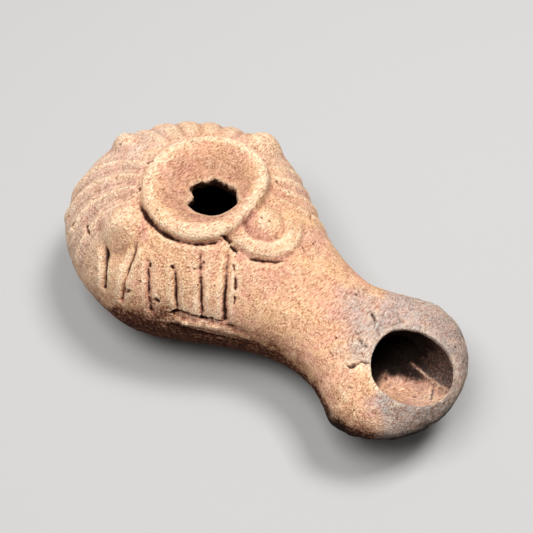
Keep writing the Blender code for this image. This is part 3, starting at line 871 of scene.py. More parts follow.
def crack(lamp, wear):
    """Cut the cracks, and return how deep in one each point lies, 0 to 1."""
    mesh = lamp.data
    points = points_of(mesh)
    tree = BVHTree.FromPolygons(points.tolist(), [list(p.vertices) for p in mesh.polygons])
    cracked = np.zeros(len(points))
    move = np.zeros(len(points))
    for line, half, depth in CRACKS:
        line = on_surface(tree, MM * np.array(line))
        index, away, run = near_line(points, line, CRACK_REACH * MM * half)
        waver = CRACK_WIDTH + CRACK_WAVER * rough(points[index], "crack width")
        width = MM * half * waver * ease(*CRACK_ENDS, run) * ease(*CRACK_ENDS, 1.0 - run)
        inside = np.clip(1.0 - away / np.maximum(width * CRACK_EDGE, 1e-6), 0.0, 1.0)
        move[index] = np.maximum(move[index], MM * depth * inside)
        cracked[index] = np.maximum(cracked[index], inside)
    place(mesh, points - normals_of(mesh) * (wear.crack_depth * move)[:, None])
    return cracked


# ---- where the finish lies ----

# What is inside: how near to the outside's form it may come, none of it at the lamp's two ends, and
# where the channel is painted black, as shade with some soot.
INSIDE, INSIDE_FULLNESS = (0.96, 0.88), 2.2
INSIDE_BACK = (LOW.x + 0.4 * WALL, LOW.x + 0.8 * WALL)
INSIDE_TIP = (TIP_X - 0.1 * WALL, TIP_X - 0.4 * WALL)
DARK_X, DARK_WANDER = (0.0584, 0.0562), 0.0006

# The filling hole's broken wall, which is painted dark as shade.
HOLE_WALL_REACH, HOLE_WALL_WANDER = 1.4, 0.0006
HOLE_WALL_TOP, HOLE_WALL_FOOT = (0.0322, 0.0314), (0.0260, 0.0270)

# The well's far wall is painted dark as shadow and soot from before the fold, in steps that reach
# further towards the channel. The painted shadow is left off the fold's lit crest, most of all there.
WELL_FROM_X = 0.05
SHADE_STEP, SHADE_STEPS = 0.0030, ((0.0670, 0.0610), (0.0600, 0.0575))
CREST_HALF, CREST_FROM = 0.00035, (0.0590, 0.0605)
CREST_DULL, CREST_DULLS = 0.7, (0.0640, 0.0690)

# Soot: on the land left of the wick hole, on a spot before it, near it and on the tip. It starts later
# and is mottled down the left flank of the neck, and there is less of it inside.
SOOT_ALONG, SOOT_ACROSS, SOOT_MOTTLED = 0.0030, 0.0025, 0.0020
DOWN_LEFT_Y, DOWN_LEFT_Z, DOWN_LEFT_DELAY = (0.0040, 0.0100), (0.0215, 0.0165), 0.0180
LAND_X, LAND_Y = (0.0430, 0.0490), (-0.0050, 0.0020)
LAND_SOOT, LAND_MORE, LAND_DARKENS = 0.62, 0.25, (0.056, 0.070)
SPOT_SOOT, SPOT_X, SPOT_Y, SPOT_R, SPOT_SPREAD = 0.55, 0.0462, 0.0010, 0.0015, 0.0048
NEAR_SOOT, NEAR_Y = 0.55, (-0.0130, -0.0060)
NEAR_FROM, NEAR_TO = (0.0440, 0.0500), (0.0600, 0.0560)
TIP_SOOT, SOOTY_X, SOOTY_Y = 0.92, (0.0585, 0.0690), (-0.0190, -0.0100)
INSIDE_SOOT = 0.25

# Scorching with painted shade under the end of the nozzle, up to a slightly tilted edge; painted shadow
# and soot on the well's far wall, easing off towards the tip; and painted shade in the filling hole.
SCORCH_SHADE_WANDER = 0.0012
LIP_X, LIP_Y, LIP_Z = (0.050, 0.058), (0.0110, 0.0010), (0.0186, 0.0140)
LIP_WANDER, LIP_TILT, LIP_TILTS = 2.0, 0.0004, (0.050, 0.072)
FAR_BLACK_PAST, FAR_BLACK_OFF_CREST = (-0.0012, 0.0014), 0.8
FAR_BLACK_EASED, FAR_BLACK_EASES = 0.65, (0.059, 0.069)
HOLE_WALL_SHADE = 0.55

# Grime and painted shade: brown stain with painted shade low down, higher on the front of the right
# flank and dropping in steps along it, above that on the flank, in a patch below the flutes, painted
# shade under the nozzle, painted shadow and soot on the well's far wall, and painted shade in the
# filling hole.
GRIME_SHADE_WANDER = 0.0022
FRONT_X, FRONT_Y, FRONT_WANDER = (-0.014, 0.006), (0.0090, -0.0070), 1.5
GRIME_SHADE_Z, FRONT_HIGHER = 0.0150, 0.0060
GRIME_SHADE_DROPS = ((0.0025, (0.014, 0.022)), (0.0015, (0.024, 0.046)))
LOW_GRIME_SHADE, LOW_FADE = 0.45, (0.0030, -0.0040)
FLANK_GRIME_SHADE, FLANK_FADE, FLANK_X = 0.35, (0.0060, 0.0), (0.046, 0.034)
PATCH_GRIME_SHADE, PATCH_X, PATCH_Z, PATCH_R = 0.8, 0.0105, 0.0210, 0.0045
UNDER_NOZZLE_SHADE, UNDER_X, UNDER_Y, UNDER_Z = 0.4, (0.046, 0.056), (0.0020, -0.0070), (0.0222, 0.0165)
FAR_SHADE_PAST, FAR_SHADE_OFF_CREST, FAR_WALL_SHADE, FAR_WANDER = (-0.0018, 0.0014), 0.6, 0.9, 0.3

# Chalky bloom over the back and along the left, and how patchy it is.
BLOOM_BACK, BLOOM_SLANT = (-0.006, -0.022), 0.25
BLOOM_LEFT, BLOOM_X, BLOOM_Y = 0.5, (0.045, 0.030), (0.010, 0.020)
BLOOM_SHARE, BLOOM_PATCHY = 0.85, 0.25

# Dirt and painted shade in the grooves: on the right flank, some beside the boss, and in the dish and
# the cracks; beside the boss and in the dish it is painted shade.
HOLLOW_DARK_LEAST, HOLLOW_DARK_FROM, HOLLOW_DARK_TO = 0.36, (232.0, 246.0), (335.0, 320.0)
SHADE_BY_BOSS = (0.5, -3.0, 22.0)
FINE_DIRT_AND_SHADE, BROAD_DIRT_AND_SHADE, CRACK_DIRT_AND_SHADE = 0.45, 0.75, 1.2
DISH_SHADE, DISH_R, DISH_Z = 0.30, (0.0130, 0.0085), (0.0300, 0.0312)


def inside_lamp(points):
    """1 on the walls of the hollow and the well, and 0 on the outer skin."""
    x, y, z = points.T
    right, left, top, under, join, middle = profile(np.clip(x, LOW.x, TIP_X))
    across = np.abs(y - middle) / np.maximum(np.where(y > middle, left, right), WALL)
    above = np.where(np.hypot(x - RING_X, y) < RING_OUTER_R, DISH_FLOOR_Z, top) - join
    below = join - np.maximum(under, 0.0)
    rise = np.abs(z - join) / np.maximum(np.where(z > join, above, below), WALL)
    nearness = (across**INSIDE_FULLNESS + rise**INSIDE_FULLNESS) ** (1.0 / INSIDE_FULLNESS)
    return ease(*INSIDE, nearness) * between(INSIDE_BACK, INSIDE_TIP, x)


def dark_inside(points):
    """1 deep in the hollow and the channel, painted black as shade with some soot, and 0 in the well,
    which the light reaches.
    """
    return inside_lamp(points) * ease(*DARK_X, points[:, 0] + DARK_WANDER * rough(points, "dark inside"))


def hole_wall(points):
    """1 on the broken wall of the filling hole, painted dark as shade, and 0 on the disc round it."""
    x, y, z = points.T
    within = np.hypot(x - FILL_X, y - FILL_Y) < HOLE_WALL_REACH * FILL_R
    chipped = HOLE_WALL_WANDER * rough(points, "hole wall")
    return within * ease(*HOLE_WALL_TOP, z + chipped) * ease(*HOLE_WALL_FOOT, z)


def far_wall(points, inside, past, wander, lit_crest):
    """1 on the well's far wall, painted dark as shadow and soot, and less on the crest of the fold,
    which is lit.
    """
    x, y, z = points.T
    reach = sum(SHADE_STEP * ease(*step, x) for step in SHADE_STEPS)
    dark = inside * (x > WELL_FROM_X) * ease(*past, past_fold(x, y) + reach + wander)
    crest = bell(past_fold(x, y), CREST_HALF) * ease(*CREST_FROM, x)
    return dark * (1.0 - lit_crest * crest * (1.0 - CREST_DULL * ease(*CREST_DULLS, x)))


def soot_amount(points, inside):
    """Grey soot on the left and before the wick hole, and round the tip."""
    x, y, z = points.T
    x = x + SOOT_ALONG * rough(points, "soot along")
    y = y + SOOT_ACROSS * rough(points, "soot across")
    down_left = ease(*DOWN_LEFT_Y, y) * ease(*DOWN_LEFT_Z, z)
    mottled = x + SOOT_MOTTLED * down_left * rough(points, "soot mottling")
    land = ease(*LAND_Y, y) * ease(LAND_X[0], LAND_X[1] + DOWN_LEFT_DELAY * down_left, mottled)
    land = land * (LAND_SOOT + LAND_MORE * ease(*LAND_DARKENS, x))
    spot = SPOT_SOOT * bell(np.hypot(x - SPOT_X, y - SPOT_Y) - SPOT_R, SPOT_SPREAD)
    near = NEAR_SOOT * ease(*NEAR_Y, y) * between(NEAR_FROM, NEAR_TO, x) * (1.0 - down_left)
    tip = TIP_SOOT * ease(*SOOTY_X, x) * ease(*SOOTY_Y, y)
    return np.maximum.reduce([land, spot, near, tip]) * blend(1.0, INSIDE_SOOT, inside)


def scorch_and_shade_amount(points, inside):
    """Near-black: burn marks and painted shade under the nozzle's end, painted shadow and soot on the
    well's far wall, and painted shade in the filling hole.
    """
    x, y, z = points.T
    wander = SCORCH_SHADE_WANDER * rough(points, "scorch_and_shade")
    # Under the end of the nozzle: scorching with painted shade.
    lip = ease(*LIP_X, x) * ease(*LIP_Z, z + wander + LIP_TILT * ease(*LIP_TILTS, x))
    lip = lip * ease(*LIP_Y, y + LIP_WANDER * wander) * (1.0 - inside)
    # The well's far wall is painted near-black as shadow with soot.
    far = far_wall(points, inside, FAR_BLACK_PAST, wander, FAR_BLACK_OFF_CREST)
    far = far * (1.0 - FAR_BLACK_EASED * ease(*FAR_BLACK_EASES, x))
    # The filling hole's wall is also painted near-black as shade.
    return np.maximum.reduce([lip, far, HOLE_WALL_SHADE * hole_wall(points)])


def grime_and_shade_amount(points, inside):
    """Brown discolouring and painted shade below the join, heaviest on the front of the right flank, and
    in the well.
    """
    x, y, z = points.T
    wander = GRIME_SHADE_WANDER * rough(points, "grime_and_shade")
    front = ease(*FRONT_X, x) * ease(*FRONT_Y, y + FRONT_WANDER * wander)
    drop = sum(step * ease(*fade, x) for step, fade in GRIME_SHADE_DROPS)
    above = z - GRIME_SHADE_Z - FRONT_HIGHER * front + drop + wander
    # Low down the clay is darkened with brown stain and painted shade, most on the near front.
    low = blend(LOW_GRIME_SHADE, 1.0, front) * ease(*LOW_FADE, above)
    flank = FLANK_GRIME_SHADE * front * ease(*FLANK_FADE, above) * ease(*FLANK_X, x)
    patch = PATCH_GRIME_SHADE * (y < 0.0) * bell(np.hypot(x - PATCH_X, z - PATCH_Z) + wander, PATCH_R)
    # Under the nozzle the darkening is painted shade.
    under = UNDER_NOZZLE_SHADE * ease(*UNDER_X, x) * ease(*UNDER_Y, y) * ease(*UNDER_Z, z + wander)
    outside = np.maximum.reduce([low, flank, patch, under]) * (1.0 - inside)
    # The well's far wall is painted brown as shadow with soot.
    far = FAR_WALL_SHADE * far_wall(points, inside, FAR_SHADE_PAST, FAR_WANDER * wander, FAR_SHADE_OFF_CREST)
    # The filling hole's wall is painted brown as shade.
    return np.maximum.reduce([outside, far, hole_wall(points)])


def bloom_amount(points):
    """A chalky bloom over the back of the shoulder and along its left side."""
    x, y, z = points.T
    back = ease(*BLOOM_BACK, x + BLOOM_SLANT * y)
    left = BLOOM_LEFT * ease(*BLOOM_X, x) * ease(*BLOOM_Y, y)
    return np.maximum(back, left) * (BLOOM_SHARE + BLOOM_PATCHY * rough(points, "bloom"))


def crevices(points, fine, broad, cracked):
    """Dirt and painted shade in what lies low: full on the right flank, some by the boss, little
    elsewhere.
    """
    x, y, z = points.T
    bearing = bearing_of(x, y)
    # Grooves are darkened fully over the right flank's bearings, and beside the boss as painted shade.
    held = np.maximum(between(HOLLOW_DARK_FROM, HOLLOW_DARK_TO, bearing), lobe(bearing, *SHADE_BY_BOSS))
    low = FINE_DIRT_AND_SHADE * share_of(fine, FINE_FULL) + BROAD_DIRT_AND_SHADE * share_of(broad, BROAD_FULL)
    # The sunk dish is darkened as painted shade.
    dished = DISH_SHADE * ease(*DISH_R, np.hypot(x - RING_X, y)) * ease(*DISH_Z, z)
    # Grooves and cracks are darkened with dirt and painted shade.
    return np.maximum(low * blend(HOLLOW_DARK_LEAST, 1.0, held) + dished, CRACK_DIRT_AND_SHADE * cracked)


def record_surface(lamp, cracked):
    """Keep what the finish follows: soiling and painted shade in hollows, worn edges with painted
    highlights, the inside painted black as shade, soot, burn marks, brown discolouring and painted
    shade, and bloom.
    """
    mesh = lamp.data
    points = points_of(mesh)
    fine = hollowness(mesh, FINE_ROUNDS)
    broad = hollowness(mesh, BROAD_ROUNDS)
    inside = inside_lamp(points)
    store(mesh, "crevice", crevices(points, fine, broad, cracked))
    store(mesh, "edge", share_of(-broad, EDGE_FULL))
    store(mesh, "inside", dark_inside(points))
    store(mesh, "soot", soot_amount(points, inside))
    store(mesh, "scorch_and_shade", scorch_and_shade_amount(points, inside))
    store(mesh, "grime_and_shade", grime_and_shade_amount(points, inside))
    store(mesh, "pale", bloom_amount(points))


# ---- finishes ----

# Noise in the finish: scale, detail, roughness and distortion.
NOISES = {
    "grain patches": (130.0, 2.0, 0.6, 0.0),
    "scratches": (3600.0, 2.0, 0.7, 0.0),
    "coarse grain": (1500.0, 3.0, 0.7, 0.0),
    "pitted": (160.0, 3.0, 0.6, 0.0),
    "clay patches": (75.0, 4.0, 0.65, 0.8),
    "clay cloud": (300.0, 4.0, 0.7, 0.8),
    "flecks": (170.0, 5.0, 0.72, 1.2),
    "dirt cloud": (420.0, 5.0, 0.75, 0.0),
    "specks": (1300.0, 4.0, 0.75, 0.0),
}

# How values are stretched: what becomes the start, what becomes the end, the start and the end.
RAMPS = {
    "grain low down": (0.0, 0.5, 1.0, 1.8),
    "grain patches": (0.45, 0.55, 0.0, 1.0),
    "dark grain": (0.50, 0.37, 0.0, 1.0),
    "light grain": (0.50, 0.63, 0.0, 1.0),
    "pits": (0.20, 0.10, 0.0, 1.0),
    "pitted": (0.54, 0.64, 0.0, 1.0),
    "off the edges": (0.35, 0.0, 0.0, 0.12),
    "pink": (0.46, 0.70, 0.0, 1.0),
    "bloom": (0.35, 0.6, 0.35, 1.0),
    "flecks": (0.52, 0.68, 0.0, 0.5),
    "edges": (0.1, 0.9, 0.0, 1.0),
    "rubbed_and_highlit": (0.3, 0.6, 0.5, 0.95),
    "shallow dirt": (0.16, 0.65, 0.0, 0.85),
    "deep dirt": (0.62, 1.10, 0.0, 1.0),
    "specks": (0.40, 0.60, 1.5, 0.7),
    "thick stain": (0.55, 1.30, 0.0, 0.9),
    "thin soot": (0.05, 0.60, 0.0, 1.0),
    "thin soot cloud": (0.36, 0.60, 0.95, 0.6),
    "thick soot": (0.60, 1.0, 0.0, 1.0),
    "thick soot cloud": (0.38, 0.60, 0.85, 0.35),
    "scorch_and_shade": (0.0, 0.9, 0.0, 1.0),
    "scorch cloud": (0.38, 0.62, 1.1, 0.85),
}

# Grain: two ways that scratches run and how drawn out they are, the share of the fine grain in it, and
# the pits' scale. The cloud adds a little to the dirt and painted shade.
SCRATCH_TURNS = ((0.5, 0.3, 0.9), (-0.4, 0.2, -0.5))
SCRATCH_STRETCH = (1.0, 0.28, 1.0)
FINE_GRAIN, COARSE_GRAIN = 0.72, 0.28
PIT_SCALE = 480.0
CLOUD_DIRT_AND_SHADE = 0.2
CLAY_ROUGHNESS, CLAY_SPECULAR = 0.86, 0.06
PAPER_ROUGHNESS = 0.9

FLOAT = "NodeSocketFloat"
COLOUR = "NodeSocketColor"
CLAY_COLOURS = ("orange", "pink", "cream", "bloom")
STAIN_COLOURS = ("crevice", "stain_and_shade", "dirt_and_shade", "soot_grey", "soot_brown", "black_soot_and_shade")


def add_node(tree, kind, inputs, **settings):
    node = tree.nodes.new(kind)
    for key, value in settings.items():
        setattr(node, key, value)
    for key, value in inputs.items():
        if isinstance(value, bpy.types.NodeSocket):
            tree.links.new(value, node.inputs[key])
        else:
            node.inputs[key].default_value = value
    return node


def place_in(tree):
    return add_node(tree, "ShaderNodeTexCoord", {}).outputs["Object"]


def attribute(tree, name):
    return add_node(tree, "ShaderNodeAttribute", {}, attribute_name=name).outputs["Fac"]


def noise(tree, vector, name):
    inputs = dict(zip(("Scale", "Detail", "Roughness", "Distortion"), NOISES[name]), Vector=vector)
    return add_node(tree, "ShaderNodeTexNoise", inputs, label=name).outputs["Fac"]


def ramp(tree, value, name):
    """The value stretched between two ends, with nothing beyond them."""
    inputs = {"Value": value, **dict(zip(("From Min", "From Max", "To Min", "To Max"), RAMPS[name]))}
    return add_node(tree, "ShaderNodeMapRange", inputs, clamp=True, label=name).outputs["Result"]


def combine(tree, operation, a, b):
    return add_node(tree, "ShaderNodeMath", {0: a, 1: b}, operation=operation).outputs[0]


def times(tree, a, b):
    return combine(tree, "MULTIPLY", a, b)


def mixed(tree, factor, a, b, blend_type="MIX"):
    """Colour a with colour b laid over it by the factor."""
    inputs = {"Factor": factor, 6: a, 7: b}
    return add_node(tree, "ShaderNodeMix", inputs, data_type="RGBA", blend_type=blend_type).outputs[2]


def opaque(finish, names):
    """The finish's colours of these names, with no transparency."""
    return {name: (*getattr(finish, name), 1.0) for name in names}


def new_group(name, inputs, outputs):
    """A node group with these sockets, and its inner input sockets and output node."""
    group = bpy.data.node_groups.new(name, "ShaderNodeTree")
    for way, sockets in (("INPUT", inputs), ("OUTPUT", outputs)):
        for socket, kind in sockets.items():
            group.interface.new_socket(socket, in_out=way, socket_type=kind)
    return group, group.nodes.new("NodeGroupInput").outputs, group.nodes.new("NodeGroupOutput").inputs


def grain_group():
    """Temper and short scratches in two directions: where they show dark and light, and their height."""
    outputs = {"Dark": FLOAT, "Light": FLOAT, "Height": FLOAT}
    group, given, out = new_group("clay grain", {"Strength": FLOAT}, outputs)
    place_on = place_in(group)
    scratches = []
    for turn in SCRATCH_TURNS:
        mapping = {"Vector": place_on, "Rotation": turn, "Scale": SCRATCH_STRETCH}
        turned = add_node(group, "ShaderNodeMapping", mapping).outputs["Vector"]
        scratches.append(noise(group, turned, "scratches"))
    patch = ramp(group, noise(group, place_on, "grain patches"), "grain patches")
    mix = {"Factor": patch, "A": scratches[0], "B": scratches[1]}
    fine = add_node(group, "ShaderNodeMix", mix, data_type="FLOAT").outputs["Result"]
    coarse = times(group, noise(group, place_on, "coarse grain"), COARSE_GRAIN)
    both = combine(group, "ADD", times(group, fine, FINE_GRAIN), coarse)
    pits_in = {"Vector": place_on, "Scale": PIT_SCALE}
    spots = add_node(group, "ShaderNodeTexVoronoi", pits_in).outputs["Distance"]
    pitted = ramp(group, noise(group, place_on, "pitted"), "pitted")
    pit = times(group, ramp(group, spots, "pits"), pitted)
    dark = times(group, ramp(group, both, "dark grain"), given["Strength"])
    light = times(group, ramp(group, both, "light grain"), given["Strength"])
    group.links.new(combine(group, "MAXIMUM", dark, pit), out["Dark"])
    group.links.new(light, out["Light"])
    group.links.new(combine(group, "SUBTRACT", both, pit), out["Height"])
    return group


def clay_group():
    """The clay's colours: orange and pink patches, chalky bloom, and cream on worn edges, partly painted
    highlight.
    """
    group, given, out = new_group("clay colours", dict.fromkeys(CLAY_COLOURS, COLOUR), {"Color": COLOUR})
    place_on = place_in(group)
    cloud = noise(group, place_on, "clay cloud")
    off_edges = ramp(group, attribute(group, "edge"), "off the edges")
    patches = combine(group, "ADD", noise(group, place_on, "clay patches"), off_edges)
    pale = times(group, attribute(group, "pale"), ramp(group, cloud, "bloom"))
    flecks = ramp(group, noise(group, place_on, "flecks"), "flecks")
    # Cream on the edges is wear and painted highlight.
    edges = ramp(group, attribute(group, "edge"), "edges")
    rubbed_and_highlit = times(group, edges, ramp(group, cloud, "rubbed_and_highlit"))
    colour = mixed(group, ramp(group, patches, "pink"), given["orange"], given["pink"])
    colour = mixed(group, pale, colour, given["bloom"])
    colour = mixed(group, flecks, colour, given["cream"])
    group.links.new(mixed(group, rubbed_and_highlit, colour, given["cream"]), out["Color"])
    return group


def stain_group():
    """What lies over the clay: soiling and painted shade in its grooves and low down, grey soot, and
    black burn marks and painted shade.
    """
    sockets = {**dict.fromkeys(("clay", *STAIN_COLOURS), COLOUR), "grime_and_shade": FLOAT, "soot": FLOAT}
    group, given, out = new_group("dirt and soot", sockets, {"Color": COLOUR})
    place_on = place_in(group)
    cloud = noise(group, place_on, "dirt cloud")
    dirt_and_shade = combine(group, "ADD", attribute(group, "crevice"), times(group, cloud, CLOUD_DIRT_AND_SHADE))
    specks = ramp(group, noise(group, place_on, "specks"), "specks")
    stain_and_shade = times(group, times(group, attribute(group, "grime_and_shade"), specks), given["grime_and_shade"])
    soot = times(group, attribute(group, "soot"), given["soot"])
    thin = times(group, ramp(group, soot, "thin soot"), ramp(group, cloud, "thin soot cloud"))
    thick = times(group, ramp(group, soot, "thick soot"), ramp(group, cloud, "thick soot cloud"))
    scorch_and_shade = times(group, attribute(group, "scorch_and_shade"), ramp(group, cloud, "scorch cloud"))
    # Black over scorching, painted shadow in the well, and painted shade inside the lamp and in the
    # filling hole.
    black = combine(group, "MAXIMUM", ramp(group, scorch_and_shade, "scorch_and_shade"), attribute(group, "inside"))
    # Grooves and the low flank are darkened with dirt and painted shade.
    colour = mixed(group, ramp(group, dirt_and_shade, "shallow dirt"), given["clay"], given["crevice"])
    colour = mixed(group, ramp(group, dirt_and_shade, "deep dirt"), colour, given["dirt_and_shade"])
    colour = mixed(group, stain_and_shade, colour, given["stain_and_shade"], "MULTIPLY")
    colour = mixed(group, ramp(group, stain_and_shade, "thick stain"), colour, given["dirt_and_shade"])
    colour = mixed(group, thin, colour, given["soot_grey"])
    colour = mixed(group, thick, colour, given["soot_brown"])
    group.links.new(mixed(group, black, colour, given["black_soot_and_shade"]), out["Color"])
    return group


def new_material(name, roughness):
    """A material, its node tree and the inputs of its shader."""
    material = bpy.data.materials.new(name)
    material.use_nodes = True
    shader = material.node_tree.nodes["Principled BSDF"].inputs
    shader["Roughness"].default_value = roughness
    return material, material.node_tree, shader


def clay_material(finish):
    """Low-fired clay with temper, rubbed high spots, dirt in its grooves, and soot at the nozzle."""
    material, tree, shader = new_material("fired clay", CLAY_ROUGHNESS)
    shader["Specular IOR Level"].default_value = CLAY_SPECULAR
    strength = times(tree, ramp(tree, attribute(tree, "grime_and_shade"), "grain low down"), finish.grain)
    grain = add_node(tree, "ShaderNodeGroup", {"Strength": strength}, node_tree=grain_group()).outputs
    colours = opaque(finish, CLAY_COLOURS)
    clay = add_node(tree, "ShaderNodeGroup", colours, node_tree=clay_group()).outputs["Color"]
    over = {"clay": clay, **opaque(finish, STAIN_COLOURS), "grime_and_shade": finish.grime_and_shade, "soot": finish.soot}
    stained = add_node(tree, "ShaderNodeGroup", over, node_tree=stain_group()).outputs["Color"]
    grains = opaque(finish, ("red_grain", "temper"))
    speckled = mixed(tree, grain["Dark"], stained, grains["red_grain"], "MULTIPLY")
    speckled = mixed(tree, grain["Light"], speckled, grains["temper"], "DODGE")
    relief = {"Height": grain["Height"], "Strength": 1.0, "Distance": finish.grain_height}
    tree.links.new(speckled, shader["Base Color"])
    tree.links.new(add_node(tree, "ShaderNodeBump", relief).outputs["Normal"], shader["Normal"])
    return material


def floor_material(studio):
    """Plain matt studio paper."""
    material, _, shader = new_material("studio paper", PAPER_ROUGHNESS)
    shader["Base Color"].default_value = (*studio.floor_colour, 1.0)
    return material


# ---- what a user may change ----

def length(name, description, default, low, high):
    return bpy.props.FloatProperty(
        name=name, description=description, default=default, min=low, max=high,
        subtype="DISTANCE", unit="LENGTH", precision=5,
    )


def share(name, description, default, high=1.0):
    return bpy.props.FloatProperty(
        name=name, description=description, default=default, min=0.0, max=high, subtype="FACTOR"
    )


def colour(name, description, default):
    return bpy.props.FloatVectorProperty(
        name=name, description=description, default=default, size=3, min=0.0, max=1.0, subtype="COLOR"
    )


def power(name, description, default):
    return bpy.props.FloatProperty(
        name=name, description=description, default=default, min=0.0, unit="POWER"
    )


def angle(name, description, degrees):
    return bpy.props.FloatProperty(
        name=name, description=description, default=math.radians(degrees),
        subtype="ANGLE", unit="ROTATION",
    )


class LampRelief(bpy.types.PropertyGroup):
    """Heights and depths of the pressed ornament."""

    detail: length("Detail", "Spacing of the sculpted mesh", 0.0003, 0.0002, 0.002)
    boss_height: length("Boss height", "Rise of the boss and its band", 0.0016, 0.0, 0.003)
    petal_depth: length("Petal depth", "Depth of the grooves between petals", 0.0007, 0.0, 0.002)
    lock_height: length("Lock height", "Height of the locks' crests", 0.0009, 0.0, 0.002)
    ray_height: length("Ray height", "Height of the worn crests on the left flank", 0.0005, 0.0, 0.002)
    flute_depth: length("Flute depth", "Depth of the straight flutes", 0.0014, 0.0, 0.002)
    undercut: length("Undercut", "Depth of the gap below the ring's near edge", 0.0010, 0.0, 0.002)
    ledge_height: length("Ledge height", "Rise of the squeezed-out clay on the join", 0.0008, 0.0, 0.002)


class LampWear(bpy.types.PropertyGroup):
    """Hand finish, damage and wear."""

    unevenness: length("Unevenness", "Rise and fall of the hand-finished surface", 0.00016, 0.0, 0.001)
    coarseness: length("Coarseness", "Height of the coarse grain", 0.00006, 0.0, 0.0005)
    pit_depth: length("Pit depth", "Depth of the deepest pits", 0.0004, 0.0, 0.001)
    edge_wear: length("Edge wear", "How much is rubbed off sharp edges", 0.00018, 0.0, 0.001)
    crack_depth: share("Crack depth", "Depth of the cracks, as a share of their own", 1.0, 2.0)


class ClayFinish(bpy.types.PropertyGroup):
    """Colours of the fired clay, its soiling and its soot, with painted shade and highlights."""

    orange: colour("Orange clay", "Main colour of the clay", (0.74, 0.445, 0.250))
    pink: colour("Pink clay", "Colour of its redder patches", (0.68, 0.355, 0.250))
    # Cream also paints highlights on the worn edges.
    cream: colour("Cream clay", "Colour of flecks and rubbed places", (0.88, 0.64, 0.44))
    bloom: colour("Bloom", "Colour of the chalky bloom", (0.70, 0.515, 0.40))
    red_grain: colour("Red grains", "Tint of the dark grains", (0.60, 0.36, 0.26))
    temper: colour("Temper", "How much the pale grains lighten", (0.28, 0.34, 0.36))
    # Crevices, stain and dirt darken grooves, hollows and the low flank: dirt and brown stain with
    # painted shade.
    crevice: colour("Crevices", "Colour of the shallow grooves", (0.36, 0.175, 0.115))
    stain_and_shade: colour("Stain", "Tint of the brown stain", (0.20, 0.090, 0.058))
    dirt_and_shade: colour("Dirt", "Colour of the deep grooves and the thickest stain", (0.036, 0.013, 0.008))
    soot_grey: colour("Grey soot", "Colour of the thin soot", (0.42, 0.355, 0.325))
    soot_brown: colour("Brown soot", "Colour of the thicker soot", (0.15, 0.115, 0.095))
    # The black also paints the shade inside the lamp, the shadow on the well's far wall and the shade in
    # the hole.
    black_soot_and_shade: colour("Black soot", "Colour of the thickest soot", (0.012, 0.007, 0.005))
    grain: share("Grain", "Strength of the speckle", 1.0)
    grain_height: length("Grain height", "Height of the finest grain", 0.0014, 0.0, 0.005)
    # Grime sets the strength of the brown stain with painted shade low down.
    grime_and_shade: share("Grime", "Strength of the brown stain low down", 1.0)
    soot: share("Soot", "Strength of the soot", 1.0)


class StudioSettings(bpy.types.PropertyGroup):
    """Floor, lights and camera."""

    floor_size: length("Floor size", "Side of the paper the lamp stands on", 3.0, 0.5, 10.0)
    floor_colour: colour("Floor colour", "Colour of the paper", (0.345, 0.34, 0.335))
    key_power: power("Key light", "Power of the soft light on the left", 5.2)
    top_power: power("Top light", "Power of the broad light overhead", 8.7)
    fill: share("Fill light", "Brightness of the light from all round", 0.18)
    camera_bearing: angle("Camera bearing", "Bearing of the view, turning from -Y to +X", 40.48)
    camera_elevation: angle("Camera elevation", "Angle the lamp is seen from, above the floor", 54.51)
    camera_distance: length("Camera distance", "From the aim to the camera", 0.2612, 0.1, 2.0)
    camera_angle: angle("Angle of view", "Width of the picture", 28.0)


# ---- operators ----

MOST_TRIANGLES = 190000

# Lights: bearing from +X and elevation in degrees, distance and size. What the camera is aimed at, from
# the middle of the lamp.
KEY_LIGHT = (68.0, 68.0, 0.7, 0.22)
TOP_LIGHT = (-110.0, 72.0, 0.9, 0.50)
AIM_SHIFT = (-0.0024, 0.0040, -0.0030)
CLIP_START = 0.01


class LAMP_OT_model_clay(bpy.types.Operator):
    """Sculpt the lamp's clay skin and give it its finish"""

    bl_idname = "lamp.model_clay"
    bl_label = "Model the clay lamp"
    bl_options = {"REGISTER", "UNDO"}

    def execute(self, context):
        relief = context.scene.lamp_relief
        wear = context.scene.lamp_wear
        lamp = plain_lamp()
        press_ornament(lamp, relief)
        for cutter in (hollow(), filling_hole(), wick_well(), below_foot()):
            cut(lamp, cutter)
        apply_modifier(lamp, "even mesh", "REMESH", mode="VOXEL", voxel_size=relief.detail)
        apply_modifier(lamp, "soften", "SMOOTH", factor=0.5, iterations=2)
        handle_roughly(lamp, wear)
        wear_edges(lamp, wear)
        cracked = crack(lamp, wear)
        record_surface(lamp, cracked)
        kept = MOST_TRIANGLES / (2 * len(lamp.data.polygons))
        apply_modifier(lamp, "lighten", "DECIMATE", ratio=min(1.0, kept))
        only(lamp)
        bpy.ops.object.shade_smooth()
        lamp.data.materials.clear()
        lamp.data.materials.append(clay_material(context.scene.clay_finish))
        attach(lamp, "root")
        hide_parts("oil_lamp")
        return {"FINISHED"}


def from_aim(around, up):
    """The direction at two angles, the first turning from +X to +Y."""
    return Vector((math.cos(around) * math.cos(up), math.sin(around) * math.cos(up), math.sin(up)))


def facing(towards):
    """The turn that makes a light or a camera look back along a direction."""
    return towards.to_track_quat("Z", "Y").to_euler()


def soft_light(name, bearing, elevation, distance, size, power, aim):
    """A square light at a bearing from +X and an elevation, turned to the lamp."""
    towards = from_aim(math.radians(bearing), math.radians(elevation))
    place_at = aim + towards * distance
    light = added(bpy.ops.object.light_add, type="AREA", location=place_at, rotation=facing(towards))
    light.name = name
    light.data.shape = "SQUARE"
    light.data.size = size
    light.data.energy = power


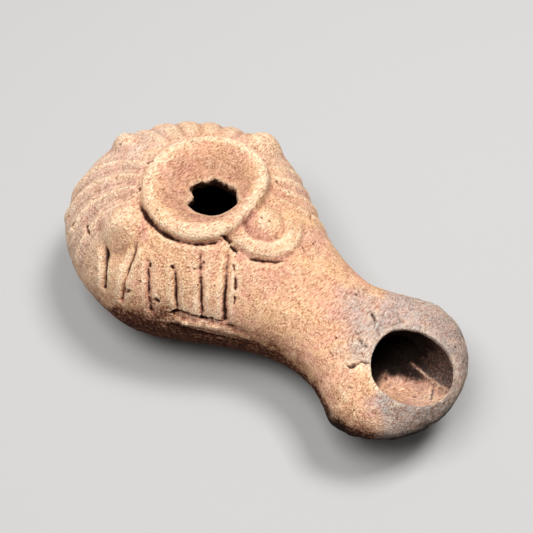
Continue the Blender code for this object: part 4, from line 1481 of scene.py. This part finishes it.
class LAMP_OT_set_studio(bpy.types.Operator):
    """Lay the floor and set up the lights and the camera"""

    bl_idname = "lamp.set_studio"
    bl_label = "Set up the studio"
    bl_options = {"REGISTER", "UNDO"}

    def execute(self, context):
        scene = context.scene
        studio = scene.lamp_studio
        aim = Vector([middle + shift for middle, shift in zip((LOW + HIGH) / 2, AIM_SHIFT)])
        floor = added(bpy.ops.mesh.primitive_plane_add, size=studio.floor_size, location=(0.0, 0.0, 0.0))
        floor.name = "studio_floor"
        floor.data.materials.append(floor_material(studio))
        soft_light("key light", *KEY_LIGHT, studio.key_power, aim)
        soft_light("top light", *TOP_LIGHT, studio.top_power, aim)
        scene.world = bpy.data.worlds.new("studio light")
        scene.world.use_nodes = True
        background = scene.world.node_tree.nodes["Background"].inputs
        background["Color"].default_value = (1.0, 1.0, 1.0, 1.0)
        background["Strength"].default_value = studio.fill
        scene.view_settings.view_transform = "Standard"
        back = from_aim(studio.camera_bearing - 0.5 * math.pi, studio.camera_elevation)
        place_at = aim + back * studio.camera_distance
        camera = added(bpy.ops.object.camera_add, location=place_at, rotation=facing(back))
        camera.data.angle = studio.camera_angle
        camera.data.clip_start = CLIP_START
        scene.camera = camera
        return {"FINISHED"}


SETTINGS = {
    "lamp_relief": LampRelief,
    "lamp_wear": LampWear,
    "clay_finish": ClayFinish,
    "lamp_studio": StudioSettings,
}


class LAMP_PT_panel(bpy.types.Panel):
    """The lamp's sizes, finishes and steps"""

    bl_idname = "LAMP_PT_panel"
    bl_label = "Oil lamp"
    bl_space_type = "VIEW_3D"
    bl_region_type = "UI"
    bl_category = "Oil lamp"

    def draw(self, context):
        for group_name, kind in SETTINGS.items():
            box = self.layout.box()
            box.label(text=kind.__doc__)
            for name in kind.__annotations__:
                box.prop(getattr(context.scene, group_name), name)
        self.layout.operator("lamp.model_clay")
        self.layout.operator("lamp.set_studio")


CLASSES = (*SETTINGS.values(), LAMP_OT_model_clay, LAMP_OT_set_studio, LAMP_PT_panel)


def register():
    for cls in CLASSES:
        bpy.utils.register_class(cls)
    for name, kind in SETTINGS.items():
        setattr(bpy.types.Scene, name, bpy.props.PointerProperty(type=kind))


def unregister():
    for name in SETTINGS:
        delattr(bpy.types.Scene, name)
    for cls in reversed(CLASSES):
        bpy.utils.unregister_class(cls)


def main():
    register()
    bpy.ops.lamp.model_clay()
    bpy.ops.lamp.set_studio()


if __name__ == "__main__":
    main()
